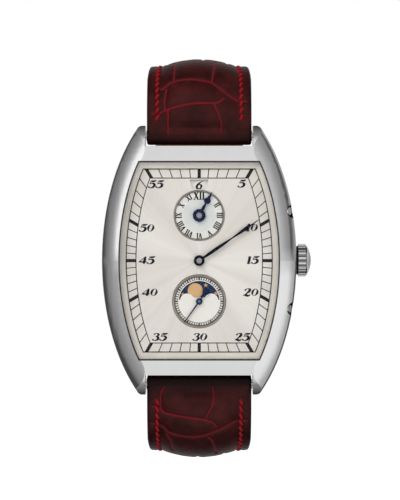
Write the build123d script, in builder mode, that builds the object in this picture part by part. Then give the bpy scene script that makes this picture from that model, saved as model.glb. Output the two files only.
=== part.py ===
from build123d import *
import math
import os

# A mechanical tonneau wristwatch with its strap open.
# The frame: +Z points to 12 o'clock, +X to the crown, -Y out of the dial.
# The origin is the centre of the flat outer face of the case back.
# Heights below are counted from that face towards the wearer's eye.
# All lengths are in millimetres, all angles in degrees.
# The sizes run from the inside out: the movement and the dial furniture come first,
# the dial opening goes round them, the case goes round the opening, and the strap fits the lugs.

os.makedirs("parts", exist_ok=True)

# Shared clearances
overrun = 1.0
fit_gap = 0.03
running_gap = 0.04
body_gap = 0.12

# Gear teeth, as shares of the module and of the tooth pitch
tooth_tip_share = 0.85
tooth_root_share = 1.15
tooth_root_half_share = 0.3
tooth_tip_half_share = 0.12

# Going train
center_wheel_teeth = 80
center_pinion_teeth = 12
third_wheel_teeth = 75
third_pinion_teeth = 10
fourth_wheel_teeth = 70
fourth_pinion_teeth = 10
escape_pinion_teeth = 7
escape_teeth = 15
barrel_teeth = 84
barrel_module = 0.13
center_module = 0.1
third_module = 0.09
fourth_module = 0.08
rim_width = 0.45
hub_radius = 0.62
spoke_width = 0.3
spoke_count = 5
wheel_thick = 0.16
pivot_radius = 0.1
pivot_length = 0.3
arbor_radius = 0.22
jewel_radius = 0.65
jewel_recess = 0.05

# Barrel
barrel_angle = 138.0
barrel_wall = 0.45
barrel_floor = 0.22
barrel_air = 0.12
barrel_teeth_depth = 0.3
mainspring_turns = 5
mainspring_thick = 0.22
barrel_arbor_radius = 0.9
stub_radius = 0.5
ratchet_teeth = 48
ratchet_module = 0.14
ratchet_thick = 0.24
ratchet_air = 0.06

# Escapement
escape_wheel_radius = 2.05
escape_root_radius = 1.6
escape_root_start_share = 0.18
escape_root_end_share = 0.72
escape_angle = 167.0
pallet_reach = 2.85
pallet_arm_half = 1.25
pallet_width = 0.3
pallet_thick = 0.16
pallet_roller_gap = 0.57
pallet_foot = (-7.3, -6.35)
pallet_foot_radius = 0.55
pallet_bridge_thick = 0.15
stone_gap = 0.16
stone_half = 0.13
fork_notch_half = 0.16
fork_prong = 0.35

# Balance, its cock and hairspring
balance_x = -8.2
balance_z = -2.6
balance_radius = 3.45
balance_rim = 0.42
balance_arm_width = 0.4
balance_thick = 0.26
balance_staff_radius = 0.2
roller_radius = 0.5
cock_thick = 0.3
cock_width = 2.4
cock_foot_radius = 1.0
cock_foot_x = -8.45
cock_foot_z = -7.85
hairspring_turns = 4
hairspring_outer = 1.9
hairspring_inner = 0.55
hairspring_thick = 0.07
hairspring_height = 0.12
spiral_steps = 24

# Movement plan: the plate goes round the balance and the barrel
plate_edge = 0.75
barrel_reach = barrel_module * (barrel_teeth + center_pinion_teeth / 2)
balance_reach = math.hypot(balance_x, balance_z) + balance_radius
movement_radius = max(balance_reach, barrel_reach) + plate_edge
bridge_inset = 0.1
bridge_rim_width = 0.65
balance_cut_gap = 0.85
bridge_cut_angle = 210.0
bridge_screw_insets = ((1.9, 60.0), (1.9, 100.0), (1.4, -25.0), (1.4, -60.0))
bridge_screw_radius = 0.4
bridge_screw_head_radius = 0.75
bridge_screw_head_height = 0.4
bridge_screw_depth = 2.6
center_recess_depth = 0.55

# Movement stack, from the back to the dial
back_thick = 1.1
rotor_air = 0.15
rotor_thick = 0.7
bridge_air = 0.2
bridge_thick = 0.7
wheel_room = 1.0
plate_thick = 1.6
works_room = 0.75
dial_thick = 0.4
rotor_low = back_thick + rotor_air
rotor_high = rotor_low + rotor_thick
bridge_low = rotor_high + bridge_air
bridge_high = bridge_low + bridge_thick
plate_low = bridge_high + wheel_room
plate_high = plate_low + plate_thick
dial_low = plate_high + works_room
dial_face = dial_low + dial_thick

# Rotor
rotor_edge_gap = 0.7
rotor_radius = movement_radius - rotor_edge_gap
rotor_hub_radius = 2.3
rotor_rim_width = 2.4
rotor_rim_drop = 0.12
rotor_web_thick = 0.35
rotor_span = 172.0
bearing_radius = 1.2
bearing_flange_radius = 1.5

# Dial furniture
hour_axis_z = 7.53
hour_ring_radius = 4.25
hour_ring_width = 0.3
seconds_axis_z = -6.8
seconds_ring_radius = 4.5
seconds_ring_width = 0.42
seconds_scale_width = 0.68
ring_height = 0.14
ring_sink = 0.2
ring_bevel_share = 0.33
dish_depth = 0.1
date_window_gap = 0.12
date_window_top_half = 1.55
date_window_low_half = 1.15
date_window_height = 1.6
date_window_z = hour_axis_z + hour_ring_radius + date_window_gap + date_window_height / 2
moon_window_radius = seconds_ring_radius - seconds_ring_width - seconds_scale_width
moon_bump_radius = 1.2
moon_bump_x = 2.0
moon_bump_z = 0.1
moon_valley_height = 0.64
moon_window_low = 0.25

# Motion works under the dial, folded at the minute wheel
cannon_teeth = 12
minute_wheel_teeth = 36
minute_pinion_teeth = 10
hour_wheel_teeth = 40
works_fold = 147.66
works_lower_gap = 0.1
works_wheel_thick = 0.16
works_step = 0.28
cannon_radius = 0.6
center_post_radius = 0.36
post_radius = 0.3
hour_post_radius = 0.34

# Calendar and moon discs
disc_thick = 0.22
disc_gap = 0.12
date_disc_overlap = 0.15
date_disc_outer = date_window_z + date_window_height / 2 - date_disc_overlap
date_disc_inner = date_window_z - date_window_height / 2 - date_disc_overlap
date_teeth = 31
date_notch_depth = 0.35
date_notch_shares = (0.55, 0.6, 0.95)
moon_disc_margin = 0.55
moon_disc_radius = moon_window_radius + moon_disc_margin
moon_pipe_radius = 0.75

# Glass opening: it clears the movement, the date disc and the minute track
opening_plate_gap = 0.62
opening_disc_gap = 0.07
track_inner_gap = 0.25
track_end_width = 1.5
track_ellipse_excess = 8.5
flange_side_width = 1.25
flange_end_width = 1.35
opening_ellipse_excess = 8.6
cavity_margin = 0.5
opening_half_width = max(movement_radius + opening_plate_gap, date_disc_outer + opening_disc_gap)
track_half_width = opening_half_width - flange_side_width
track_half_length = date_window_z + date_window_height / 2 + track_inner_gap + track_end_width
track_ellipse_z = track_half_length + track_ellipse_excess
opening_half_length = track_half_length + flange_end_width
opening_ellipse_z = opening_half_length + opening_ellipse_excess
cavity_half_width = opening_half_width + cavity_margin
cavity_ellipse_z = opening_ellipse_z + cavity_margin
cavity_half_length = opening_half_length + cavity_margin

# Flange between the dial and the glass
flange_step_share = 0.5
flange_low_height = 0.35
flange_high_height = 0.62
flange_inner_gap = 0.12

# Crystal
crystal_thick = 1.0
crystal_proud = 0.3
crystal_gasket_width = 0.2
crystal_gasket_depth = 0.6
glass_room = 1.6

# Hands
hand_thick = 0.16
hour_hand_air = 0.24
minute_hand_air = 0.5
seconds_hand_air = 0.18
hand_pipe_wall = 0.2
minute_hand_length = 12.07
minute_hand_angle = 55.5
minute_hub_radius = 0.88
minute_neck_half = 0.15
minute_leaf_reach = 3.2
minute_leaf_half = 0.27
minute_waist_reach = 6.6
minute_waist_half = 0.1
minute_spade_reach = 9.7
minute_spade_half = 0.32
minute_spade_end = 10.4
minute_needle_half = 0.1
hour_hand_length = 4.4
hour_hand_angle = 28.8
hour_hub_radius = 1.07
hour_neck_half = 0.2
hour_leaf_reach = 1.5
hour_leaf_half = 0.25
hour_waist_reach = 2.1
hour_waist_half = 0.16
hour_bulb_reach = 2.8
hour_bulb_radius = 0.55
hour_spire_reach = 3.32
hour_spire_half = 0.26
seconds_hand_length = 4.27
seconds_hand_angle = 215.3
seconds_hub_radius = 0.55
seconds_eye_radius = 0.55
seconds_eye_hole = 0.22
seconds_eye_reach = 2.0
seconds_neck_half = 0.13
seconds_pointer_half = 0.13
seconds_tip_half = 0.08
tip_half = 0.06
cap_radius = 0.46
cap_height = 0.16

# Spring bars and the strap's eyes about them
bar_height = 3.0
bar_radius = 0.85
bar_tip_radius = 0.4
bar_tip_length = 0.9
bar_end_margin = 1.6
strap_eye_wall = 0.73
strap_eye_radius = bar_radius + running_gap + strap_eye_wall
strap_wall_gap = 0.18

# Case outline: an ellipse whose ends are cut square, with a slot for the strap at each end
case_flank_width = 2.78
case_end_width = 2.5
lug_inner_half_gap = 9.0
lug_tip_width = 1.0
lug_corner_radius = 0.9
lug_underside = 0.45
lug_slot_end = opening_half_length + case_end_width
bar_z = lug_slot_end + strap_wall_gap + strap_eye_radius
case_half_length = bar_z + bar_end_margin
case_half_width = opening_half_width + case_flank_width
lug_tip_half = lug_inner_half_gap + lug_tip_width
case_ellipse_z = case_half_length / math.sqrt(1 - (lug_tip_half / case_half_width) ** 2)

# Case front: a gentle arch that turns down over the lugs
arch_radius = 140.0
arch_end_margin = 0.4
lug_end_slope = 42.2
flank_radius = 37.0
flank_turn = 24.0
flank_edge_drop = 0.12
rim_round = 0.5
case_front_height = dial_face + glass_room + crystal_thick - crystal_proud
arch_half_length = opening_half_length + arch_end_margin
arch_end_slope = math.degrees(math.asin(arch_half_length / arch_radius))
lug_bend_radius = (case_half_length - arch_half_length) / (
    math.sin(math.radians(lug_end_slope)) - math.sin(math.radians(arch_end_slope))
)

# Case back
back_side_margin = 1.0
back_end_margin = 0.35
back_ellipse_excess = 8.75
back_edge_bevel = 0.35
back_glass_inset = 1.9
back_glass_thick = 0.85
back_seal_width = 0.5
back_seal_depth = 0.35
back_screw_x = 6.5
back_screw_edge = 0.82
back_screw_radius = 0.42
back_screw_head_radius = 0.7
back_screw_head_height = 0.45
back_screw_length = 3.2
screw_slot = 0.2
back_half_width = case_half_width - back_side_margin
back_half_length = lug_slot_end - back_end_margin
back_ellipse_z = back_half_length + back_ellipse_excess
back_glass_radius = movement_radius - back_glass_inset
back_screw_z = back_half_length - back_screw_edge

# Crown, stem and setting lever
stem_radius = 0.4
stem_groove_radius = 0.26
stem_hole_gap = 0.06
stem_tail = 0.8
lever_inset = 2.4
lever_thick = 0.3
lever_half = 0.8
crown_radius = 2.75
crown_case_gap = 0.35
crown_flute_length = 1.25
crown_length = 2.15
crown_flutes = 20
crown_flute_radius = 0.27
crown_dome_step = 0.31
crown_dome_height = 0.7
crown_pull = 0.9
crown_tube_radius = 1.0
crown_tube_inner_gap = 0.38
crown_tube_reach = 0.65
crown_gasket_radius = 1.35
crown_gasket_thick = 0.35
stem_height = plate_low + plate_thick / 2
lever_x = movement_radius - lever_inset
stem_inner_x = lever_x - stem_tail
lever_low = bridge_high + 2 * body_gap
lever_high = stem_height + stem_radius + body_gap
crown_inner_x = case_half_width + crown_case_gap
crown_outer_x = crown_inner_x + crown_length
crown_tube_inner_x = cavity_half_width + crown_tube_inner_gap
crown_tube_outer_x = crown_inner_x + crown_tube_reach

# Correctors in the flank
corrector_high_z = 8.2
corrector_low_z = -8.0
corrector_tilt = 32.0
corrector_radius = 0.72
corrector_dish_radius = 1.15
corrector_dish_depth = 0.75
corrector_edge_drop = 0.75
corrector_length = 2.3
corrector_stroke = 0.3
corrector_proud = 0.25

# Strap
strap_side_gap = 0.2
strap_shoulder_taper = 0.45
strap_shoulder_depth = 6.0
strap_taper = 0.9
strap_taper_depth = 56.0
strap_outer_thick = 1.15
strap_lining_thick = 1.05
strap_pad_thick = 1.25
strap_pad_edge = 2.4
strap_straight = 2.4
strap_bend_radius = 8.6
strap_bend_turn = 98.0
buckle_half_radius = 50.0
buckle_half_turn = 38.0
tail_half_radius = 110.0
tail_pad_turn = 20.0
tail_plain_turn = 30.0
hole_count = 7
hole_pitch = 6.5
hole_radius = 0.9
hole_from_tip = 24.0
strap_half_width = lug_inner_half_gap - strap_side_gap

# Buckle, tongue and keepers
buckle_bar_radius = 0.75
buckle_eye_radius = 1.45
buckle_inset = 0.4
buckle_rail = 1.7
buckle_thick = 1.5
buckle_reach = 12.0
buckle_tip_radius = 0.36
buckle_tip_reach = 1.3
buckle_corner = 2.4
tongue_width = 1.9
tongue_thick = 0.9
tongue_lift = 0.12
tongue_notch_depth = 0.4
tongue_round_share = 0.6
keeper_wall = 0.9
keeper_width = 4.0
keeper_side_gap = 0.35
keeper_strap_gap = 0.3
keeper_tail_room = 2.6
keeper_eye_gap = 2.05
keeper_room = 2.0
keeper_travel = 3.0
keeper_end_room = 1.5
buckle_inner_half = strap_half_width - buckle_inset
fixed_keeper_at = buckle_eye_radius + keeper_eye_gap + keeper_width / 2
sliding_keeper_at = fixed_keeper_at + keeper_width + keeper_room
buckle_half_straight = sliding_keeper_at + keeper_width / 2 + keeper_travel + keeper_end_room


# Planes and outlines that several pieces share

def level(height):
    """Plane square to the dial, height above the case back's outer face."""
    return Plane(origin=(0, -height, 0), x_dir=(1, 0, 0), z_dir=(0, -1, 0))


def side_plane(sign):
    """Plane of a cut along the strap, local x outward, local y towards the dial side."""
    return Plane(origin=(0, 0, 0), x_dir=(0, 0, sign), z_dir=(sign, 0, 0))


def across_plane(x):
    """Plane square to the crown's axis at a distance x from the middle."""
    return Plane(origin=(x, 0, 0), x_dir=(0, 0, 1), z_dir=(1, 0, 0))


def tonneau(half_width, ellipse_z, half_length):
    """Sketch of an ellipse whose top and bottom are cut square."""
    with BuildSketch(Plane.XY) as outline:
        Ellipse(half_width, ellipse_z)
        Rectangle(2 * half_width, 2 * half_length, mode=Mode.INTERSECT)
    return outline.sketch


def tonneau_prism(half_width, ellipse_z, half_length, low, high):
    with BuildPart() as prism:
        with BuildSketch(level(low)):
            add(tonneau(half_width, ellipse_z, half_length))
        extrude(amount=high - low)
    return prism.part


def disc(radius, low, high, center=(0, 0)):
    with BuildPart() as drum:
        with BuildSketch(level(low)):
            with Locations(center):
                Circle(radius)
        extrude(amount=high - low)
    return drum.part


def ring(outer, inner, low, high, center=(0, 0)):
    with BuildPart() as hoop:
        with BuildSketch(level(low)):
            with Locations(center):
                Circle(outer)
                Circle(inner, mode=Mode.SUBTRACT)
        extrude(amount=high - low)
    return hoop.part


def rod(radius, start_x, end_x, height, z=0):
    """Round bar along the crown's axis."""
    with BuildPart() as bar_part:
        with BuildSketch(across_plane(start_x)):
            with Locations((z, height)):
                Circle(radius)
        extrude(amount=end_x - start_x)
    return bar_part.part


def block(low_x, high_x, half_z, low, high):
    with BuildPart() as box_part:
        with BuildSketch(level(low)):
            with Locations(((low_x + high_x) / 2, 0)):
                Rectangle(high_x - low_x, 2 * half_z)
        extrude(amount=high - low)
    return box_part.part


def polar(radius, degrees, center=(0, 0)):
    """Point at an angle counted from 3 o'clock towards 12 o'clock."""
    turn = math.radians(degrees)
    return (center[0] + radius * math.cos(turn), center[1] + radius * math.sin(turn))


def gear_points(teeth, module, phase):
    """Outline of a wheel with straight sided teeth, one tooth centred on phase."""
    pitch_radius = module * teeth / 2
    tip_radius = pitch_radius + module * tooth_tip_share
    root_radius = pitch_radius - module * tooth_root_share
    step = 360 / teeth
    points = []
    for tooth in range(teeth):
        middle = phase + tooth * step
        points.append(polar(root_radius, middle - step * tooth_root_half_share))
        points.append(polar(tip_radius, middle - step * tooth_tip_half_share))
        points.append(polar(tip_radius, middle + step * tooth_tip_half_share))
        points.append(polar(root_radius, middle + step * tooth_root_half_share))
    return points


def gear(center, teeth, module, phase, low, high, bore=0, spokes=0):
    """A toothed wheel, crossed out between its spokes when spokes is not zero."""
    root_radius = module * teeth / 2 - module * tooth_root_share
    with BuildPart() as wheel:
        with BuildSketch(level(low)):
            with Locations(center):
                Polygon(*gear_points(teeth, module, phase), align=None)
                if spokes:
                    Circle(root_radius - rim_width, mode=Mode.SUBTRACT)
                    Circle(hub_radius)
                    with PolarLocations(root_radius / 2, spokes):
                        Rectangle(root_radius - rim_width / 2, spoke_width)
                if bore:
                    Circle(bore, mode=Mode.SUBTRACT)
        extrude(amount=high - low)
    return wheel.part


def mesh_phase(from_center, to_center, teeth):
    """Phases that put a tooth of the first wheel into a gap of the second."""
    line = math.degrees(math.atan2(to_center[1] - from_center[1], to_center[0] - from_center[0]))
    return line, line + 180 + 180 / teeth


def third_corner(first, second, first_reach, second_reach, sign):
    """Point at given distances from two others, on the side that sign names."""
    dx = second[0] - first[0]
    dz = second[1] - first[1]
    apart = math.hypot(dx, dz)
    along = (first_reach ** 2 - second_reach ** 2 + apart ** 2) / (2 * apart)
    aside = sign * math.sqrt(first_reach ** 2 - along ** 2)
    return (first[0] + (along * dx - aside * dz) / apart, first[1] + (along * dz + aside * dx) / apart)


def third_side(first, second, corner):
    """Side of a triangle that faces the corner between two known sides."""
    return math.sqrt(first ** 2 + second ** 2 - 2 * first * second * math.cos(math.radians(corner)))


def pair_distance(module, teeth_a, teeth_b):
    return module * (teeth_a + teeth_b) / 2


# Axes of the movement
center_axis = (0, 0)
hour_axis = (0, hour_axis_z)
seconds_axis = (0, seconds_axis_z)
third_axis = third_corner(
    center_axis,
    seconds_axis,
    pair_distance(center_module, center_wheel_teeth, third_pinion_teeth),
    pair_distance(third_module, third_wheel_teeth, fourth_pinion_teeth),
    1,
)
barrel_axis = polar(pair_distance(barrel_module, barrel_teeth, center_pinion_teeth), barrel_angle)
escape_axis = polar(
    pair_distance(fourth_module, fourth_wheel_teeth, escape_pinion_teeth), escape_angle, seconds_axis
)
balance_axis = (balance_x, balance_z)
works_module = 2 * hour_axis_z / third_side(
    cannon_teeth + minute_wheel_teeth, minute_pinion_teeth + hour_wheel_teeth, works_fold
)
minute_wheel_axis = third_corner(
    center_axis,
    hour_axis,
    pair_distance(works_module, cannon_teeth, minute_wheel_teeth),
    pair_distance(works_module, minute_pinion_teeth, hour_wheel_teeth),
    -1,
)
cock_foot = (cock_foot_x, cock_foot_z)
pallet_angle = math.degrees(
    math.atan2(balance_axis[1] - escape_axis[1], balance_axis[0] - escape_axis[0])
)
pallet_axis = polar(pallet_reach, pallet_angle, escape_axis)
pallet_fork_length = math.dist(pallet_axis, balance_axis) - roller_radius - pallet_roller_gap
bridge_radius = movement_radius - bridge_inset
bridge_screw_places = [polar(movement_radius - inset, angle) for inset, angle in bridge_screw_insets]
bridge_screw_places.append(cock_foot)


# Case

def arch_height(z, drop=0):
    """Height of the front arch over a point z, less a drop."""
    return case_front_height - drop - arch_radius + math.sqrt(arch_radius ** 2 - z ** 2)


def side_profile_points():
    """Corners of the arch over one lug: its start, middle and end, past the lug's tip."""
    slope = math.radians(arch_end_slope)
    end_slope = math.asin(math.sin(math.radians(lug_end_slope)) + overrun / lug_bend_radius)
    middle_slope = (slope + end_slope) / 2
    center_z = arch_half_length - lug_bend_radius * math.sin(slope)
    center_h = arch_height(arch_half_length) - lug_bend_radius * math.cos(slope)
    start = (arch_half_length, arch_height(arch_half_length))
    middle = (
        center_z + lug_bend_radius * math.sin(middle_slope),
        center_h + lug_bend_radius * math.cos(middle_slope),
    )
    end = (
        center_z + lug_bend_radius * math.sin(end_slope),
        center_h + lug_bend_radius * math.cos(end_slope),
    )
    return start, middle, end


def case_side():
    """The case seen from the side, as a slab as wide as the case."""
    start, middle, end = side_profile_points()
    with BuildPart() as slab:
        with BuildSketch(side_plane(1)):
            with BuildLine():
                ThreePointArc((-start[0], start[1]), (0, case_front_height), start)
                ThreePointArc(start, middle, end)
                ThreePointArc((-start[0], start[1]), (-middle[0], middle[1]), (-end[0], end[1]))
                Polyline(
                    end,
                    (end[0], lug_underside),
                    (back_half_length + body_gap, lug_underside),
                    (back_half_length + body_gap, back_thick),
                    (-back_half_length - body_gap, back_thick),
                    (-back_half_length - body_gap, lug_underside),
                    (-end[0], lug_underside),
                    (-end[0], end[1]),
                )
            make_face()
        extrude(amount=case_half_width + overrun, both=True)
    return slab.part


def flank_dome():
    """Solid turned about a line behind the wrist, which rounds off the flanks and the lugs."""
    edge_height = case_front_height - flank_edge_drop
    top = edge_height - math.sqrt(flank_radius ** 2 - opening_half_width ** 2) + flank_radius
    reach = case_half_width + overrun
    reach_height = top - flank_radius + math.sqrt(flank_radius ** 2 - reach ** 2)
    corner_x = opening_half_width * math.sqrt(1 - (opening_half_length / opening_ellipse_z) ** 2)
    corner_dome = top - flank_radius + math.sqrt(flank_radius ** 2 - corner_x ** 2)
    corner_arch = arch_height(opening_half_length, flank_edge_drop)
    # the turned dome lies just under the arch, at the sides and the corners of the opening alike
    axis_depth = (corner_arch ** 2 - corner_dome ** 2 + opening_half_length ** 2) / (
        2 * (corner_dome - corner_arch)
    )
    with BuildPart() as dome:
        with BuildSketch(Plane(origin=(0, 0, 0), x_dir=(1, 0, 0), z_dir=(0, 0, -1))):
            with BuildLine():
                ThreePointArc((-reach, reach_height), (0, top), (reach, reach_height))
                Polyline((reach, reach_height), (reach, 0), (-reach, 0), (-reach, reach_height))
            make_face()
        revolve(
            axis=Axis(origin=(0, axis_depth, 0), direction=(1, 0, 0)),
            revolution_arc=flank_turn,
        )
        revolve_half = dome.part
    with BuildPart() as whole:
        add(revolve_half)
        mirror(about=Plane.XY)
    return whole.part


# The back screws
screw_places = [
    (sign_x * back_screw_x, sign_z * back_screw_z) for sign_x in (1, -1) for sign_z in (1, -1)
]


def corrector_plane(z):
    """Plane square to a corrector's axis, where its dish meets the flank."""
    edge_x = case_half_width * math.sqrt(1 - (z / case_ellipse_z) ** 2)
    edge_h = case_front_height - corrector_edge_drop - corrector_dish_radius
    tilt = math.radians(corrector_tilt)
    return Plane(
        origin=(edge_x, -edge_h, z),
        x_dir=(0, 0, 1),
        z_dir=(math.cos(tilt), -math.sin(tilt), 0),
    )


def on_rim(edge):
    """Whether an edge is one where a flank meets the side of the case."""
    middle = edge @ 0.5
    side_x = case_half_width * math.sqrt(1 - (middle.Z / case_ellipse_z) ** 2)
    return -middle.Y > dial_face and abs(abs(middle.X) - side_x) < fit_gap


with BuildPart() as case_middle:
    with BuildSketch(level(0)) as case_plan:
        add(tonneau(case_half_width, case_ellipse_z, case_half_length))
        for sign in (1, -1):
            with Locations((0, sign * (lug_slot_end + case_half_length))):
                Rectangle(2 * lug_inner_half_gap, 2 * case_half_length, mode=Mode.SUBTRACT)
        fillet(
            case_plan.vertices().filter_by(
                lambda corner: abs(corner.X) > lug_inner_half_gap + fit_gap
                and abs(corner.Y) > case_half_length - fit_gap
            ),
            radius=lug_corner_radius,
        )
    extrude(amount=case_front_height + overrun)
    add(case_side(), mode=Mode.INTERSECT)
    add(flank_dome(), mode=Mode.INTERSECT)
    fillet(case_middle.edges().filter_by(on_rim), radius=rim_round)
    add(
        tonneau_prism(cavity_half_width, cavity_ellipse_z, cavity_half_length, 0, dial_face),
        mode=Mode.SUBTRACT,
    )
    add(
        tonneau_prism(
            opening_half_width,
            opening_ellipse_z,
            opening_half_length,
            0,
            case_front_height + overrun,
        ),
        mode=Mode.SUBTRACT,
    )
    with BuildSketch(level(0)):
        with Locations(*screw_places):
            Circle(back_screw_radius + fit_gap)
    extrude(amount=back_screw_length + body_gap, mode=Mode.SUBTRACT)
    with BuildSketch(across_plane(0)):
        with Locations((0, stem_height)):
            Circle(crown_tube_radius)
    extrude(amount=case_half_width + overrun, mode=Mode.SUBTRACT)
    for sign in (1, -1):
        with BuildSketch(side_plane(sign)):
            with Locations((bar_z, bar_height)):
                Circle(bar_tip_radius + fit_gap)
        extrude(amount=lug_inner_half_gap + bar_tip_length + body_gap, both=True, mode=Mode.SUBTRACT)
    for z in (corrector_high_z, corrector_low_z):
        with BuildSketch(corrector_plane(z).offset(-corrector_dish_depth)):
            Circle(corrector_dish_radius)
        extrude(amount=corrector_length + overrun, mode=Mode.SUBTRACT)
        with BuildSketch(corrector_plane(z).offset(-corrector_length)):
            Circle(corrector_radius + running_gap)
        extrude(amount=corrector_length, mode=Mode.SUBTRACT)
case_middle.part.label = "case_middle"
export_step(case_middle.part, "parts/case_middle.step")


# Back, its glass, seal and screws

def seal_loop(gap):
    """Flat seal about the cavity, smaller than its groove by a gap all round."""
    with BuildPart() as loop:
        add(
            tonneau_prism(
                cavity_half_width + back_seal_width - gap,
                cavity_ellipse_z + back_seal_width - gap,
                opening_half_length - back_seal_width - gap,
                back_thick - back_seal_depth,
                back_thick,
            )
        )
        add(
            tonneau_prism(
                cavity_half_width + gap,
                cavity_ellipse_z + gap,
                opening_half_length - 2 * back_seal_width + gap,
                back_thick - back_seal_depth,
                back_thick,
            ),
            mode=Mode.SUBTRACT,
        )
    return loop.part


with BuildPart() as case_back:
    add(tonneau_prism(back_half_width, back_ellipse_z, back_half_length, 0, back_thick))
    chamfer(case_back.faces().sort_by(Axis.Y)[-1].outer_wire().edges(), length=back_edge_bevel)
    add(disc(back_glass_radius + fit_gap, 0, back_glass_thick), mode=Mode.SUBTRACT)
    add(disc(back_glass_radius - back_seal_width, 0, back_thick), mode=Mode.SUBTRACT)
    with BuildSketch(level(0)):
        with Locations(*screw_places):
            Circle(back_screw_radius + fit_gap)
    extrude(amount=back_thick, mode=Mode.SUBTRACT)
    with BuildSketch(level(0)):
        with Locations(*screw_places):
            Circle(back_screw_head_radius + fit_gap)
    extrude(amount=back_screw_head_height, mode=Mode.SUBTRACT)
    add(seal_loop(0), mode=Mode.SUBTRACT)
case_back.part.label = "case_back"
export_step(case_back.part, "parts/case_back.step")

with BuildPart() as back_seal:
    add(seal_loop(fit_gap))
back_seal.part.label = "case_back_seal"
export_step(back_seal.part, "parts/case_back_seal.step")

with BuildPart() as back_glass:
    add(disc(back_glass_radius, 0, back_glass_thick))
back_glass.part.label = "case_back_glass"
export_step(back_glass.part, "parts/case_back_glass.step")

with BuildPart() as back_screws:
    with BuildSketch(level(fit_gap)):
        with Locations(*screw_places):
            Circle(back_screw_head_radius)
    extrude(amount=back_screw_head_height - fit_gap)
    with BuildSketch(level(fit_gap)):
        with Locations(*screw_places):
            Circle(back_screw_radius)
    extrude(amount=back_screw_length)
    with BuildSketch(level(0)):
        with Locations(*screw_places):
            Rectangle(2 * back_screw_head_radius + overrun, screw_slot)
    extrude(amount=screw_slot + fit_gap, mode=Mode.SUBTRACT)
back_screws.part.label = "case_back_screws"
export_step(back_screws.part, "parts/case_back_screws.step")


# Crystal and its gasket

def under_arch(drop):
    """Everything behind the front arch lowered by a drop."""
    with BuildPart() as slab:
        with BuildSketch(side_plane(1)):
            with BuildLine():
                reach = arch_half_length
                ThreePointArc(
                    (-reach, arch_height(reach, drop)),
                    (0, case_front_height - drop),
                    (reach, arch_height(reach, drop)),
                )
                Polyline(
                    (reach, arch_height(reach, drop)),
                    (reach, 0),
                    (-reach, 0),
                    (-reach, arch_height(reach, drop)),
                )
            make_face()
        extrude(amount=case_half_width, both=True)
    return slab.part


crystal_inset = crystal_gasket_width + 2 * fit_gap
crystal_under_drop = crystal_thick - crystal_proud

with BuildPart() as crystal:
    add(
        tonneau_prism(
            opening_half_width - crystal_inset,
            opening_ellipse_z - crystal_inset,
            opening_half_length - crystal_inset,
            0,
            case_front_height + overrun,
        )
    )
    add(under_arch(-crystal_proud), mode=Mode.INTERSECT)
    add(under_arch(crystal_under_drop), mode=Mode.SUBTRACT)
crystal.part.label = "crystal"
export_step(crystal.part, "parts/crystal.step")

with BuildPart() as crystal_gasket:
    add(
        tonneau_prism(
            opening_half_width - fit_gap,
            opening_ellipse_z - fit_gap,
            opening_half_length - fit_gap,
            0,
            case_front_height + overrun,
        )
    )
    add(
        tonneau_prism(
            opening_half_width - crystal_gasket_width - fit_gap,
            opening_ellipse_z - crystal_gasket_width - fit_gap,
            opening_half_length - crystal_gasket_width - fit_gap,
            0,
            case_front_height + overrun,
        ),
        mode=Mode.SUBTRACT,
    )
    add(under_arch(crystal_under_drop - crystal_gasket_depth), mode=Mode.INTERSECT)
    add(under_arch(crystal_under_drop), mode=Mode.SUBTRACT)
crystal_gasket.part.label = "crystal_gasket"
export_step(crystal_gasket.part, "parts/crystal_gasket.step")


# Flange: two steps down from the glass to the dial

flange_inner_width = track_half_width + flange_inner_gap
flange_inner_ellipse = track_ellipse_z + flange_inner_gap
flange_inner_length = track_half_length + flange_inner_gap


def between(low, high, share):
    return low + (high - low) * share


with BuildPart() as dial_flange:
    add(
        tonneau_prism(
            opening_half_width - fit_gap,
            opening_ellipse_z - fit_gap,
            opening_half_length - fit_gap,
            dial_face,
            dial_face + flange_high_height,
        )
    )
    add(
        tonneau_prism(
            between(flange_inner_width, opening_half_width, flange_step_share),
            between(flange_inner_ellipse, opening_ellipse_z, flange_step_share),
            between(flange_inner_length, opening_half_length, flange_step_share),
            dial_face + flange_low_height,
            dial_face + flange_high_height,
        ),
        mode=Mode.SUBTRACT,
    )
    add(
        tonneau_prism(
            flange_inner_width,
            flange_inner_ellipse,
            flange_inner_length,
            dial_face,
            dial_face + flange_high_height,
        ),
        mode=Mode.SUBTRACT,
    )
    add(under_arch(crystal_under_drop + fit_gap), mode=Mode.INTERSECT)
dial_flange.part.label = "dial_flange"
export_step(dial_flange.part, "parts/dial_flange.step")


# Dial, its recesses, windows and applied rings

hour_dish_radius = hour_ring_radius - hour_ring_width
seconds_dish_radius = seconds_ring_radius - seconds_ring_width
center_hole_radius = cannon_radius + hand_pipe_wall + body_gap
hour_hole_radius = center_hole_radius
seconds_hole_radius = arbor_radius + hand_pipe_wall + body_gap


def moon_window():
    """Sky shaped window: a half round top over two humps that hide the moon."""
    with BuildSketch(Plane.XY) as window:
        with Locations((0, seconds_axis_z)):
            Circle(moon_window_radius)
            with Locations((0, -moon_window_radius + moon_window_low)):
                Rectangle(
                    2 * (moon_window_radius + overrun), 2 * moon_window_radius, mode=Mode.SUBTRACT
                )
            with Locations((moon_bump_x, moon_bump_z), (-moon_bump_x, moon_bump_z)):
                Circle(moon_bump_radius, mode=Mode.SUBTRACT)
            with Locations((0, moon_valley_height - moon_window_radius)):
                Rectangle(2 * moon_bump_x, 2 * moon_window_radius, mode=Mode.SUBTRACT)
    return window.sketch


def date_window():
    middle = date_window_z
    half = date_window_height / 2
    with BuildSketch(Plane.XY) as window:
        with BuildLine():
            Polyline(
                (-date_window_top_half, middle + half),
                (date_window_top_half, middle + half),
                (date_window_low_half, middle - half),
                (-date_window_low_half, middle - half),
                close=True,
            )
        make_face()
    return window.sketch


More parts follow.
